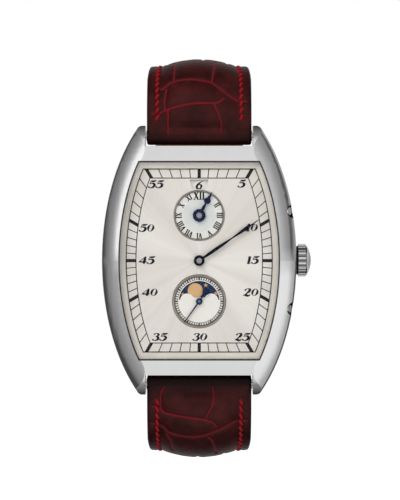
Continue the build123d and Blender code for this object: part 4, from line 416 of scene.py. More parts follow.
HOUR_AXIS = (0.0, 7.53)
SECONDS_AXIS = (0.0, -6.8)
DIAL, DISH, DISC = 6.6, 6.5, 6.08
SINK, PRINT, FIGURE_PRINT = 0.01, 0.02, 0.03
DISH_PRINT = (DISH + 0.005, DISH + 0.035)
TRACK_OUTER, TRACK_INNER = (12.17, 23.75, 15.25), (10.55, 21.8, 13.75)
LINE_OUTER, LINE_INNER, MINUTE_WIDE, FIVE_WIDE = 0.16, 0.15, 0.14, 0.54


def tonneau_hit(form, degrees):
    """Where a ray from the hand axis meets a track line: ellipse sides cut by flat ends."""
    half, tall, end = form
    a = math.radians(90 - degrees)
    dx, dz = math.cos(a), math.sin(a)
    reach = 1.0 / math.sqrt((dx / half) ** 2 + (dz / tall) ** 2)
    if abs(dz) > 1e-9:
        reach = min(reach, end / abs(dz))
    return (dx * reach, dz * reach)


def tonneau_line(form, inset, steps=24):
    """The track line itself, as a closed list of points."""
    half, tall, end = (v - inset for v in form)
    corner = math.asin(min(1.0, end / tall))
    turns = [corner * (2 * i / steps - 1) for i in range(steps + 1)]
    side = [(half * math.cos(t), tall * math.sin(t)) for t in turns]
    return side + [(-x, -z) for x, z in side]


def tick_side(degrees, edge):
    """One side of a minute's tick, which runs between the two track lines."""
    side = []
    for form in (TRACK_OUTER, TRACK_INNER):
        far = math.hypot(*tonneau_hit(form, degrees))
        side.append(tonneau_hit(form, degrees + math.degrees(math.atan2(edge, far))))
    return side


def minute_track(look):
    soup = Soup()
    low, high = DIAL - SINK, DIAL + PRINT
    for form, width in ((TRACK_OUTER, LINE_OUTER), (TRACK_INNER, LINE_INNER)):
        soup.strip(tonneau_line(form, -width / 2), tonneau_line(form, width / 2), low, high, True)
    for minute in range(60):
        half = (MINUTE_WIDE if minute % 5 else FIVE_WIDE) / 2
        soup.strip(tick_side(minute * 6.0, half), tick_side(minute * 6.0, -half), low, high)
    return piece(soup.make("minute_track_print", look), "watch", "silver_dial")


# Pen lines of each figure, in hundredths of its height: x, y and half width of each point
PEN = {
    "1": ["16 80 2, 30 88 5, 40 97 9", "38 98 10, 38 50 10.5, 38 4 10", "18 3 3, 38 3 4, 60 3 3"],
    "2": ["16 72 10, 20 88 5, 42 97 3, 66 86 10, 64 62 11, 42 38 6, 14 10 3",
          "6 5 3, 28 15 8, 52 5 10, 74 6 6, 84 26 2"],
    "3": ["16 76 9, 24 92 4, 46 97 3, 66 82 9, 58 62 7, 38 53 3",
          "38 53 3, 60 50 7, 72 28 11, 56 7 7, 32 2 3, 14 10 5, 12 22 9"],
    "4": ["66 100 3, 36 66 3, 0 30 3", "-2 28 5, 44 28 6, 92 28 4", "64 98 6, 62 50 11, 62 2 9"],
    "5": ["22 93 5, 40 90 8, 62 90 8, 84 100 3", "22 94 3, 18 74 3, 15 54 3",
          "15 54 3, 38 63 5, 66 52 9, 72 28 11, 52 6 7, 28 2 3, 10 12 6, 9 22 8"],
    "6": ["80 98 2, 56 86 4, 30 62 8, 16 34 10, 26 8 7, 46 2 3, 68 14 7, 70 38 9, 52 54 4, 34 50 3, 18 34 2"],
    "7": ["14 78 3, 22 92 9, 46 88 8, 70 96 5", "72 97 3, 52 62 7, 36 30 10, 32 2 9"],
}
# Loops of the round figures: middle and half axes, as shares of the height
LOOPS = {"0": [(0.42, 0.5, 0.29, 0.46)], "8": [(0.42, 0.74, 0.20, 0.22), (0.42, 0.27, 0.25, 0.24)]}
ADVANCE = dict(zip("0123456789", (0.90, 0.66, 0.92, 0.88, 0.94, 0.90, 0.90, 0.80, 0.88, 0.90)))
NINE_WIDE, SLANT, BOLD, THINNEST, END_SHARE = 0.84, 0.24, 1.45, 0.03, 0.55
LOOP_THIN, LOOP_SWELL, LOOP_LEAN = 0.035, 0.105, 0.25
MINUTE_FIGURES = [
    ("55", -7.22, 12.73), ("5", 7.08, 12.83), ("50", -8.72, 5.45), ("10", 8.70, 5.52),
    ("45", -8.72, 0.07), ("15", 8.85, 0.10), ("40", -8.20, -5.28), ("20", 8.63, -5.28),
    ("35", -6.60, -12.73), ("30", 0.12, -12.73), ("25", 7.18, -12.73),
]
FIGURE_HEIGHT, FIGURE_WIDE = 1.26, 1.12
DATE_MIDDLE, DATE_HEIGHT, DAYS, DAY_SHOWN = 12.62, 1.36, 31, 6


def pen_lines(figure):
    """The figure's pen lines as points; a nine is a six turned half round."""
    if figure == "9":
        return [[(NINE_WIDE - x, 1.0 - y, w) for x, y, w in line] for line in pen_lines("6")]
    return [read_points(line, 100) for line in PEN.get(figure, [])]


def stroke_sides(points, place, steps=7):
    """Left and right sides of a stroke, after place() has put its points on the dial."""
    line = eased(points, steps)
    left, right = [], []
    for i, p in enumerate(line):
        d = line[min(i + 1, len(line) - 1)][:2] - line[max(i - 1, 0)][:2]
        d /= max(np.linalg.norm(d), 1e-9)
        w = max(p[2] * BOLD, THINNEST) * (END_SHARE if i in (0, len(line) - 1) else 1.0)
        left.append(place(p[0] - d[1] * w, p[1] + d[0] * w))
        right.append(place(p[0] + d[1] * w, p[1] - d[0] * w))
    return left, right


def write_figure(soup, figure, corner, height, low, high, wide):
    """One figure of the dial with its lower left corner at (x, z)."""
    def place(x, y):
        return (corner[0] + (x * wide + SLANT * y) * height, corner[1] + y * height)

    for line in pen_lines(figure):
        soup.strip(*stroke_sides(line, place), low, high)
    for cx, cy, rx, ry in LOOPS.get(figure, []):
        outer, inner = [], []
        for i in range(40):
            t = 2 * math.pi * i / 40
            w = LOOP_THIN + LOOP_SWELL * abs(math.cos(t + LOOP_LEAN)) ** 1.6
            outer.append(place(cx + (rx + w) * math.cos(t), cy + (ry + 0.3 * w) * math.sin(t)))
            inner.append(place(cx + (rx - w) * math.cos(t), cy + (ry - w) * math.sin(t)))
        soup.strip(outer, inner, low, high, True)


def write_number(soup, text, centre, height, low, high, wide=1.0):
    width = (sum(ADVANCE[c] for c in text) * wide + SLANT) * height
    x = centre[0] - width / 2 + 0.04 * height
    for c in text:
        write_figure(soup, c, (x, centre[1] - height / 2), height, low, high, wide)
        x += ADVANCE[c] * wide * height


def minute_figures(look):
    soup = Soup()
    for text, x, z in MINUTE_FIGURES:
        write_number(soup, text, (x, z), FIGURE_HEIGHT, DIAL - SINK, DIAL + FIGURE_PRINT, FIGURE_WIDE)
    return piece(soup.make("minute_figures", look, 30.0), "watch", "blued_steel")


def date_figures(look):
    """The numbers of the date disc; one of them stands in the window."""
    soup = Soup()
    for day in range(1, DAYS + 1):
        part = Soup()
        write_number(part, str(day), (0.0, DATE_MIDDLE), DATE_HEIGHT, DISC - SINK, DISC + PRINT)
        turn = Matrix.Rotation(math.radians((day - DAY_SHOWN) * 360 / DAYS), 4, (0, 1, 0))
        soup.add([tuple(turn @ Vector(v)) for v in part.verts], part.faces)
    return piece(soup.make("date_figures", look, 30.0), "date", "silver_dial")


def serif(left, right, y):
    return (left, y, right, y, 0.045)


# Bars of each Roman letter as shares of its height: (x0, y0, x1, y1, half width), and its width
ROMAN_BARS = {
    "I": ([(0.17, 0.03, 0.17, 0.97, 0.095), serif(0.01, 0.33, 0.04), serif(0.01, 0.33, 0.96)], 0.38),
    "V": ([(0.13, 0.97, 0.40, 0.03, 0.1), (0.62, 0.97, 0.40, 0.03, 0.05), serif(0.00, 0.27, 0.96),
           serif(0.50, 0.75, 0.96)], 0.76),
    "X": ([(0.12, 0.97, 0.60, 0.03, 0.1), (0.60, 0.97, 0.12, 0.03, 0.05), serif(0.00, 0.25, 0.96),
           serif(0.47, 0.72, 0.96), serif(0.00, 0.25, 0.04), serif(0.47, 0.72, 0.04)], 0.76),
}
ROMANS = ["XII", "I", "II", "III", "IIII", "V", "VI", "VII", "VIII", "IX", "X", "XI"]
# Height, squeeze and distance from the hour axis, of twelve and of the rest
TWELVE_SIZES, HOUR_SIZES = (1.36, 0.92, 3.30), (0.98, 0.86, 3.42)


def roman_bar(soup, bar, x0, hour):
    """One bar of a letter, turned to its hour."""
    height, squeeze, middle = HOUR_SIZES if hour else TWELVE_SIZES
    ax, ay, bx, by, half = bar
    ends = [(x0 + x * height * squeeze, middle + (y - 0.5) * height) for x, y in ((ax, ay), (bx, by))]
    d = np.array([ends[1][0] - ends[0][0], ends[1][1] - ends[0][1]])
    d *= half * height / np.linalg.norm(d)
    sides = [[turned((x - s * d[1], z + s * d[0]), hour * 30, HOUR_AXIS) for x, z in ends] for s in (1, -1)]
    soup.strip(*sides, *DISH_PRINT)


def hour_figures(look):
    soup = Soup()
    for hour, text in enumerate(ROMANS):
        height, squeeze, _ = HOUR_SIZES if hour else TWELVE_SIZES
        x0 = -sum(ROMAN_BARS[c][1] for c in text) * height * squeeze / 2
        for c in text:
            bars, advance = ROMAN_BARS[c]
            for bar in bars:
                roman_bar(soup, bar, x0, hour)
            x0 += advance * height * squeeze
    return piece(soup.make("hour_figures", look, 30.0), "watch", "silver_dial")


SCALE_INNER, SCALE_OUTER = 3.58, 4.03
INNER_LINE, OUTER_LINE, SECOND_HALF, FIFTH_HALF = 0.045, 0.06, 1.05, 1.9


def seconds_scale(look):
    """Railway scale of the small seconds: two lines with bars between them."""
    soup = Soup()
    for radius, width in ((SCALE_OUTER, OUTER_LINE), (SCALE_INNER, INNER_LINE)):
        sides = [circle_points(radius + s * width / 2, SECONDS_AXIS, 120) for s in (1, -1)]
        soup.strip(*sides, *DISH_PRINT, True)
    for second in range(60):
        half = FIFTH_HALF if second % 5 == 0 else SECOND_HALF
        sides = [
            [turned((0.0, r), second * 6 + a, SECONDS_AXIS) for r in (SCALE_INNER, SCALE_OUTER)]
            for a in (-half, half)
        ]
        soup.strip(*sides, *DISH_PRINT)
    return piece(soup.make("seconds_scale_print", look), "watch", "silver_dial")


SILVER = [(0.36, (0.735, 0.70, 0.64)), (0.50, (0.81, 0.775, 0.72)), (0.66, (0.88, 0.855, 0.81))]
CREAM = [(0.3, (0.80, 0.79, 0.74)), (0.7, (0.84, 0.83, 0.79))]
PEARL = [(0.3, (0.70, 0.72, 0.70)), (0.7, (0.76, 0.77, 0.74))]
WHITE = [(0.3, (0.88, 0.86, 0.80)), (0.7, (0.91, 0.89, 0.84))]
RING_EDGE, MIDDLE_EDGE = 4.1, 2.75
BROAD_SHARE = 0.75


def dial_look():
    """Silvered sunburst dial with a white seconds disc and a paler hour ring."""
    look = Look("dial_silver", SILVER[1][1], 0.42, 0.25)
    _, angle = look.centred(0.0, 0.0)
    given = {0: look.math("COSINE", angle), 1: look.math("SINE", angle)}
    spin = look.node("ShaderNodeCombineXYZ", given).outputs[0]
    broad, fine = look.noise(spin, 1.7, 2.0, 0.6), look.noise(spin, 45.0, 3.0, 0.7)
    share = look.math("MULTIPLY", broad, BROAD_SHARE)
    share = look.math("ADD", share, look.math("MULTIPLY", fine, 1 - BROAD_SHARE))
    base, cloud = look.ramp(share, *SILVER), look.grain(1.5, 2.0)
    for axis, edge, tones in (
        (HOUR_AXIS, RING_EDGE, CREAM), (HOUR_AXIS, MIDDLE_EDGE, PEARL), (SECONDS_AXIS, RING_EDGE, WHITE)
    ):
        inside = look.math("LESS_THAN", look.centred(*axis)[0], edge)
        base = look.mixed(inside, base, look.ramp(cloud, *tones))
    look.put(Base_Color=base, Roughness=look.spread(fine, 0.36, 0.5))
    look.bump(fine, 0.002)
    return look


MOON_AT, MOON_RADIUS = (-0.66, 1.74), 1.27
STARS_AT = [(1.10, 2.66), (-2.72, 1.10), (2.80, 1.30)]
STAR_RADIUS, STAR_WAIST = 0.42, 0.17


def moon_parts(look):
    """Two moons and three stars beside each, on the turning sky disc."""
    soup = Soup()

    def opposite(sign, place):
        return (SECONDS_AXIS[0] + sign * place[0], SECONDS_AXIS[1] + sign * place[1])

    for sign in (1, -1):
        centre = opposite(sign, MOON_AT)
        soup.dome(circle_points(MOON_RADIUS, centre, 48), centre, DISC - SINK, DISC + SINK, DISC + 0.06)
    for sign in (1, -1):
        for place in STARS_AT:
            centre = opposite(sign, place)
            outline = []
            for i in range(10):
                r, t = STAR_WAIST if i % 2 else STAR_RADIUS, math.pi / 2 + math.pi * i / 5
                outline.append((centre[0] + r * math.cos(t), centre[1] + r * math.sin(t)))
            soup.dome(outline, centre, DISC - SINK, DISC + SINK, DISC + 0.04, 2)
    return piece(soup.make("gold_moons_and_stars", look, 25.0), "moon", "gilt_brass")


PIN_LOW, PIN_EDGE, PIN_TOP, PIN_RADIUS = 6.93, 6.97, 7.02, 0.26
# A black ring of painted shadow in the gap between the crown's foot and the case
GAP_SHADOW_IN, GAP_SHADOW_OUT, GAP_SHADOW_RADIUS, GAP_SHADOW_BEVEL, GAP_SHADOW_BORE = 16.27, 16.58, 2.45, 0.1, 1.2


def seconds_pin(look):
    """The polished end of the small seconds arbor."""
    circle = circle_points(PIN_RADIUS, SECONDS_AXIS, 32)
    soup = Soup().dome(circle, SECONDS_AXIS, PIN_LOW, PIN_EDGE, PIN_TOP)
    return piece(soup.make("seconds_pin", look, 50.0), "seconds", "polished_steel")


def crown_skirt(look):
    """Painted shadow: a black ring at the crown's foot, in the gap beside the case."""
    profile = [(GAP_SHADOW_IN, GAP_SHADOW_BORE), (GAP_SHADOW_IN, GAP_SHADOW_RADIUS - GAP_SHADOW_BEVEL), (GAP_SHADOW_OUT, GAP_SHADOW_RADIUS),
               (GAP_SHADOW_OUT, GAP_SHADOW_BORE)]
    rings = [[at(x, CROWN_H + h, z) for h, z in circle_points(radius, count=60)] for x, radius in profile]
    return piece(Soup().loft(rings, True).make("crown_skirt", look), "crown", "polished_steel")


# The strap

BAR_Z, BAR_H = 20.9, 3.0
STRAP_HALF, SHOULDER, SHOULDER_DEEP, TAPER = 8.8, 0.45, 6.0, 0.45 / 50.0
LEATHER, LINING, PAD, PAD_HALF = 1.15, 1.05, 1.21, 6.4
SHELL_IN, LINING_IN, TIP_LEFT = 0.02, 0.06, 0.004
# Runs of each half from its spring bar: a length, or a radius and its bend in degrees
BEND = [(2.4, 0.0), (8.6, 98.0)]
ACROSS = Vector((1, 0, 0))


class Strap:
    """The way of one strap half, towards 12 o'clock (sign 1) or 6 o'clock (sign -1)."""

    def __init__(self, runs, sign, rounded=False):
        self.runs, self.sign, self.tip = runs, sign, 0.0
        self.lengths = [size * math.radians(bend) if bend else size for size, bend in runs]
        self.total, self.pad_end = sum(self.lengths), sum(self.lengths[:3])
        if rounded:
            self.tip = self.half(self.total) - SHELL_IN

    def along(self, distance):
        """(outward z, h, heading in radians) at a distance from the bar."""
        z, h, heading = BAR_Z, BAR_H, 0.0
        for (size, bend), length in zip(self.runs, self.lengths):
            step = min(distance, length)
            if bend:
                mid = (z - size * math.sin(heading), h - size * math.cos(heading))
                heading += step / size
                z, h = mid[0] + size * math.sin(heading), mid[1] + size * math.cos(heading)
            else:
                z, h = z + step * math.cos(heading), h - step * math.sin(heading)
            distance -= step
            if distance <= 1e-9:
                break
        return z, h, heading

    def half(self, s, inset=0.0):
        """Half width: shoulders behind the lugs, a slow taper, then the tip's round, drawn this far in."""
        deep = max(-self.along(s)[1], 0.0)
        near = min(deep, SHOULDER_DEEP)
        half = STRAP_HALF - SHOULDER * near / SHOULDER_DEEP - TAPER * (deep - near)
        past, reach = s - self.total + self.tip, self.tip - inset
        if self.tip and past > 0:
            half += math.sqrt(max(reach ** 2 - past ** 2, 0.0)) - reach
        return half

    def place(self, x, s, offset):
        z, h, a = self.along(s)
        return Vector(at(x, h + math.cos(a) * offset, self.sign * (z + math.sin(a) * offset)))

    def frame(self, s):
        """Unit directions along the strap and out of its outer face."""
        a = self.along(s)[2]
        ahead, out = (0, math.sin(a), self.sign * math.cos(a)), (0, -math.cos(a), self.sign * math.sin(a))
        return Vector(ahead), Vector(out)

    def places(self, first, last, step, round_steps, gap):
        """Distances from the bar, closer together round the tip."""
        count = int((last - first) / step)
        even = [first + (last - first) * i / count for i in range(count + 1)]
        if not self.tip:
            return even
        turns = [math.pi / 2 * k / round_steps for k in range(round_steps, 0, -1)]
        fine = [self.total - self.tip * (1 - math.cos(turn)) for turn in turns]
        return [p for p in even if p < fine[0] - gap] + fine + [self.total - TIP_LEFT]


UPPER = Strap(BEND + [(50.0, 38.0), (18.0, 0.0)], 1)
LOWER = Strap(BEND + [(110.0, 20.0), (110.0, 30.0)], -1, True)

# Grooves of the leather beside the case, as (across, distance from the bar) points
UPPER_GROOVES = [
    "-4.2 14.5, -4.2 12.8, -4.3 8.8",
    "-7.1 7.8, -6.1 7.5, -4.6 8.4, -2.0 8.6, 1.1 8.2, 2.2 7.9, 4.1 6.7, 6.2 5.6, 8.5 5.4",
    "2.9 14.8, 2.7 13.2, 2.4 10.0, 2.1 8.2",
    "-5.5 7.2, -5.8 5.4, -5.7 4.1",
    "-8.6 3.5, -6.7 3.6, -5.6 4.0, -3.2 4.5, -0.4 4.8, 2.8 4.9, 4.1 5.6",
    "-5.2 3.9, -5.2 2.1, -5.2 0.2",
    "2.5 4.6, 3.2 3.4, 3.7 2.1, 3.6 0.6",
]
LOWER_GROOVES = [
    "-5.6 0.2, -6.2 0.9, -6.5 1.9, -6.4 4.0",
    "2.3 0.0, 2.3 0.6, 2.4 2.5, 1.9 3.7, 1.1 4.9",
    "-8.6 3.4, -6.4 4.0, -5.9 4.5, -3.4 4.8, -0.1 5.1, 1.9 5.5, 2.8 6.2",
    "-8.4 6.2, -6.1 6.9, -5.2 7.7, -2.6 8.0, -0.1 7.9, 1.9 7.4, 4.1 6.7, 6.2 5.9, 8.5 5.9",
    "-5.6 8.0, -4.9 9.4, -4.6 12.0",
    "1.4 8.0, 2.3 9.2, 2.9 12.4",
]
# The hidden scales: where their lengthwise grooves run, how far each wanders and how often one is there
GROOVE_LANES, GROOVE_SHARE = ((-4.6, 0.7), (0.2, 1.0), (4.6, 0.7)), 0.86


def all_grooves(shown, start, end, seed):
    """The shown grooves, then rows of squarish scales for the part that the dial side hides."""
    draw = random.Random(seed)

    def wander(reach):
        return draw.uniform(-reach, reach)

    lines, s = [read_points(text) for text in shown], start
    while s < end - 2.0:
        tilt, bow = wander(0.7), wander(0.8)
        lines.append([
            (x, s + tilt * x / 8 + bow * (1 - (x / 8) ** 2) + wander(0.25))
            for x in (2.2 * k for k in range(-4, 5))
        ])
        step = draw.uniform(5.0, 6.6)
        for x in [lane + wander(reach) for lane, reach in GROOVE_LANES]:
            if draw.random() < GROOVE_SHARE:
                lean = wander(0.5)
                lines.append([(x - lean, s), (x + wander(0.3), s + step / 2), (x + lean, s + step)])
        s += step
    return lines


def groove_distance(x, s, lines):
    """Least distance from each (x, s) to any groove line."""
    best = np.full(x.shape, 1e9)
    for line in lines:
        pts = np.array(eased(line, 5))
        for a, b in zip(pts[:-1], pts[1:]):
            d = b - a
            t = np.clip(((x - a[0]) * d[0] + (s - a[1]) * d[1]) / max(d @ d, 1e-9), 0, 1)
            best = np.minimum(best, np.hypot(x - a[0] - t * d[0], s - a[1] - t * d[1]))
    return best


def smooth_step(value, low, high):
    t = np.clip((value - low) / (high - low), 0.0, 1.0)
    return t * t * (3 - 2 * t)


def bell(value, width):
    return np.exp(-(value / width) ** 2)


FLAP, FLAP_IN, FLAP_OUT = 1.8, 0.55, 1.0
EYE_IN, EYE_OUT, EYE_END, EYE_STEPS = 0.9, 1.62, 2.0, 24
BUCKLE_EYE_IN, BUCKLE_EYE_OUT = 0.8, 1.45
OFF_RUN = -5.0
PAD_START, PAD_FADE = (0.4, 3.2), 3.0
EDGE_ROUND, EDGE_DROP, BORDER = 0.45, 0.36, (0.1, 0.9)
STITCH_IN, STITCH_PITCH = 1.75, 1.12
SEAM_DEEP, SEAM_WIDE, SEAM_START = 0.16, 0.42, (2.4, 3.0)
GROOVE_DEEP, GROOVE_WIDE, GROOVE_TONE_WIDE = 0.20, 0.17, 0.19
SCALE_RISE, SCALE_WIDE = 0.05, 1.2
HIDE_GRAIN, GRAIN_RISE = 1.6, 0.02
# Darker rims outside the stitches, and painted shade on the fold round the spring bar in the lugs
RIM_DIM, RIM_BAND = 0.42, (0.3, 1.3)
FOLD_SHADE, FOLD_BAND = {1: 0.35, -1: 1.0}, (-0.2, 0.8)
NEAR_RIM = np.linspace(0.9, 1, 10)[1:]
CROSS = np.concatenate([-NEAR_RIM[::-1], np.linspace(-0.9, 0.9, 96), NEAR_RIM])
UNDER_POINTS, UNDER_IN = 14, 0.12


def eye_rows(z, h, start, steps, inner, outer, half):
    """Rows of the shell half round a bar."""
    turns = [start + math.pi * i / EYE_STEPS for i in steps]
    return [(z, h, math.sin(t), math.cos(t), inner, outer, OFF_RUN, half) for t in turns]


def shell_rows(strap, buckled):
    """A shell's rows: z, h, way out in z and h, inner and outer distance, place on the run, half width."""
    rows = []
    for share in (0.0, 1 / 3, 2 / 3):
        inner, outer = FLAP_IN + (EYE_IN - FLAP_IN) * share, FLAP_OUT + (EYE_OUT - FLAP_OUT) * share
        rows.append((BAR_Z + FLAP * (1 - share), BAR_H, 0.0, -1.0, inner, outer, OFF_RUN, STRAP_HALF))
    rows += eye_rows(BAR_Z, BAR_H, math.pi, range(EYE_STEPS + 1), EYE_IN, EYE_OUT, STRAP_HALF)
    for s in strap.places(0.0, strap.total, 0.17, 40, 0.05)[1:]:
        z, h, a = strap.along(s)
        inner = math.sqrt(max(EYE_IN ** 2 - s * s, 0.0))
        rows.append((z, h, math.sin(a), math.cos(a), inner, 0.0, s, strap.half(s)))
    if buckled:
        steps, half = range(1, EYE_STEPS + 1), strap.half(strap.total)
        rows += eye_rows(*strap.along(strap.total), steps, BUCKLE_EYE_IN, BUCKLE_EYE_OUT, half)
    return np.array(rows)


def shell_lift(strap, x, s, rim, outer):
    """The height of the plain leather: a crowned pad that fades at both ends, and rounded edges."""
    shown = smooth_step(s, *PAD_START) * (1 - smooth_step(s, strap.pad_end - PAD_FADE, strap.pad_end))
    lift = LEATHER + PAD * np.clip(1 - (x / PAD_HALF) ** 2, 0.0, 1.0) * shown
    eye = EYE_OUT + (LEATHER - EYE_OUT) * smooth_step(s, 0.0, EYE_END)
    lift = np.where(s < EYE_END, np.maximum(lift, eye), lift)
    fold = 1 - np.minimum(1.0, rim / EDGE_ROUND)
    return np.where(s > 0, lift, outer) - EDGE_DROP * (1 - np.sqrt(np.clip(1 - fold ** 2, 0, 1)))


def tone_points(obj, name, values):
    """Keeps a tone for each point of a shell's outer face, and none below."""
    tone = obj.data.attributes.new(name, "FLOAT", "POINT")
    values = np.pad(values, ((0, 0), (0, UNDER_POINTS)))
    tone.data.foreach_set("value", values.astype(np.float32).ravel())


def strap_shell(name, strap, grooves, look, buckled=False):
    """The outer leather of one strap half, from under its spring bar to its free end."""
    rows = shell_rows(strap, buckled)
    outer, s, half = rows[:, 5:6], rows[:, 6:7], rows[:, 7:] - SHELL_IN
    x = half * CROSS
    rim, away = half - np.abs(x), groove_distance(x, s, grooves)
    border = smooth_step(rim, *BORDER)
    relief = SEAM_DEEP * bell(rim - STITCH_IN, SEAM_WIDE) * smooth_step(s, *SEAM_START)
    relief += GROOVE_DEEP * bell(away, GROOVE_WIDE) * border
    relief -= SCALE_RISE * smooth_step(away, 0.0, SCALE_WIDE) * border
    lift = shell_lift(strap, x, s, rim, outer) - np.where(s > 0, relief, 0.0) - SCALE_RISE
    rings = []
    for (z, h, out_z, out_h, inner, _, place, _), width, xs, offs in zip(rows, half[:, 0], x, lift):
        ring = []
        for px, off in zip(xs, offs):
            if place > 0:
                grain = Vector((px * HIDE_GRAIN, place * HIDE_GRAIN, strap.sign * 3.0))
                off += noise.noise(grain) * GRAIN_RISE
            ring.append((px, off))
        side = width - UNDER_IN
        ring += [(px, inner + SHELL_IN) for px in np.linspace(side, -side, UNDER_POINTS)]
        rings.append([at(px, h + out_h * off, strap.sign * (z + out_z * off)) for px, off in ring])
    obj = Soup().loft(rings).make(name, look, 70.0)
    tone_points(obj, "groove", np.where(s > 0, bell(away, GROOVE_TONE_WIDE) * border, 0.0))
    # painted shade darkens the fold in the lugs, and the rims outside the stitches are darker
    fold_shade = FOLD_SHADE[strap.sign] * (1 - smooth_step(s, *FOLD_BAND))
    tone_points(obj, "dim", np.maximum(fold_shade, RIM_DIM * (1 - smooth_step(rim, *RIM_BAND))))
    return obj


def cut_away(obj, cutters):
    """Takes closed cutters out of a piece and keeps the result as its mesh."""
    for cutter in cutters:
        change = obj.modifiers.new("cut", "BOOLEAN")
        change.operation, change.solver, change.object = "DIFFERENCE", "MANIFOLD", cutter
    bpy.context.view_layer.update()
    graph = bpy.context.evaluated_depsgraph_get()
    made = bpy.data.meshes.new_from_object(obj.evaluated_get(graph))
    obj.modifiers.clear()
    obj.data = made
    for cutter in cutters:
        bpy.data.objects.remove(cutter)


TAIL_HOLES = [24.0 + 6.5 * k for k in range(7)]
HOLE_RADIUS, HOLE_REACH, HOLE_SIDES = 0.9, 4.0, 28
# Half width, way along and height of the notch for the buckle's tongue
NOTCH = ((-1.3, 1.3), (-1.75, 2.2), (-2.2, 2.2))


def hole_cutters(look):
    """Closed rods through the holes of the lower half."""
    made = []
    for back in TAIL_HOLES:
        s = LOWER.total - back
        centre, out = LOWER.place(0.0, s, 0.0), LOWER.frame(s)[1]
        u = out.orthogonal().normalized()
        v = out.cross(u)
        circle = circle_points(HOLE_RADIUS * MM, count=HOLE_SIDES)
        reaches = (-HOLE_REACH * MM, HOLE_REACH * MM)
        rings = [[tuple(centre + out * t + u * a + v * b) for a, b in circle] for t in reaches]
        made.append(Soup().loft(rings).make("hole_cutter", look))
    return made


def notch_cutter(look):
    along, out = UPPER.frame(UPPER.total)
    centre = UPPER.place(0.0, UPPER.total, 0.0)
    corners = [ACROSS * x + along * t + out * o for x in NOTCH[0] for t in NOTCH[1] for o in NOTCH[2]]
    faces = [(0, 1, 3, 2), (4, 6, 7, 5), (0, 4, 5, 1), (2, 3, 7, 6), (0, 2, 6, 4), (1, 5, 7, 3)]
    return Soup().add([tuple(centre + corner * MM) for corner in corners], faces).make("notch_cutter", look)


STITCH_START, STITCH_LEAST, STITCH_RINGS, STITCH_SIDES = 2.9, 0.5, 7, 7
STITCH_LEAN, LEAN_SPREAD, STITCH_LENGTH = 0.42, 0.08, 0.60 * STITCH_PITCH
THREAD_THICK, THREAD_END, THREAD_FLAT = 0.27, 0.12, 0.8
THREAD_BOW, THREAD_SINK = 0.20, 0.10


def stitch(centre, heading, out):
    """One thick stitch, bowed out of the leather, as rings of points."""
    width = heading.cross(out).normalized()
    tube = []
    for i in range(STITCH_RINGS):
        t = i / (STITCH_RINGS - 1) * 2 - 1
        bow = THREAD_BOW * (1 - t * t) - THREAD_SINK
        middle = centre + (heading * (t * STITCH_LENGTH) + out * bow) * MM
        circle = circle_points(THREAD_THICK * math.sqrt(max(1 - t ** 4, THREAD_END)), count=STITCH_SIDES)
        tube.append([tuple(middle + (width * a + out * b * THREAD_FLAT) * MM) for a, b in circle])
    return tube


def stitch_rows(name, strap, last, look, outside):
    """Slanted stitches along both edges of one strap half."""
    soup = Soup()
    draw = random.Random(5 if strap.sign > 0 else 6)
    face, level = (1, LEATHER - SEAM_DEEP) if outside else (-1, -LINING)
    for side in (-1, 1):
        for k in range(int((last - STITCH_START) / STITCH_PITCH) + 1):
            s = STITCH_START + k * STITCH_PITCH
            half = strap.half(s, STITCH_IN)
            if half < STITCH_IN + STITCH_LEAST:
                continue
            along, out = strap.frame(s)
            lean = STITCH_LEAN * face + draw.uniform(-LEAN_SPREAD, LEAN_SPREAD)
            centre = strap.place(side * (half - STITCH_IN), s, level)
            soup.loft(stitch(centre, (along + ACROSS * lean).normalized(), out * face))
    return soup.make(name, look, 60.0)


LINING_START, LINING_END_START, LINING_END = 1.95, 0.15, 0.6
LINING_TOP, LINING_ROUND, LINING_DROP = 0.005, 0.5, 0.42
LINING_SEAM_DEEP, LINING_SEAM_WIDE, LINING_GRAIN = 0.10, 0.35, 0.9


def lining_shell(name, strap, last, look):
    """The soft inner leather of one strap half."""
    rings = []
    for s in strap.places(LINING_START, last, 0.5, 24, 0.1):
        half = strap.half(s) - LINING_IN
        thick = LINING * min(1.0, (s - LINING_START + LINING_END_START) / LINING_END)
        ring = [strap.place(x, s, -LINING_TOP) for x in np.linspace(-half, half, 36)]
        for x in np.linspace(half, -half, 60):
            rim = half - abs(x)
            edge = 1 - min(1.0, rim / LINING_ROUND)
            off = LINING_DROP * (1 - math.sqrt(max(1 - edge * edge, 0))) - thick
            off += LINING_SEAM_DEEP * bell(rim - STITCH_IN, LINING_SEAM_WIDE)
            grain = Vector((x * LINING_GRAIN, s * LINING_GRAIN, 7.0 * strap.sign))
            ring.append(strap.place(x, s, off + GRAIN_RISE * noise.noise(grain)))
        rings.append(ring)
    return Soup().loft(rings).make(name, look, 60.0)


# Dark, middle and groove colours of each leather
OXBLOOD = ((0.017, 0.0022, 0.0022), (0.040, 0.0048, 0.0046), (0.15, 0.005, 0.011))
LINING_HIDE = ((0.16, 0.07, 0.035), (0.22, 0.10, 0.05), (0.2, 0.08, 0.04))
DIM_SHARE, DIM_TONE, PALE_SHARE = 0.85, (0.006, 0.0012, 0.0016), 1.35
CREASES_PER_METRE, CREASE_DEPTH = (1800.0,) * 3, 0.018


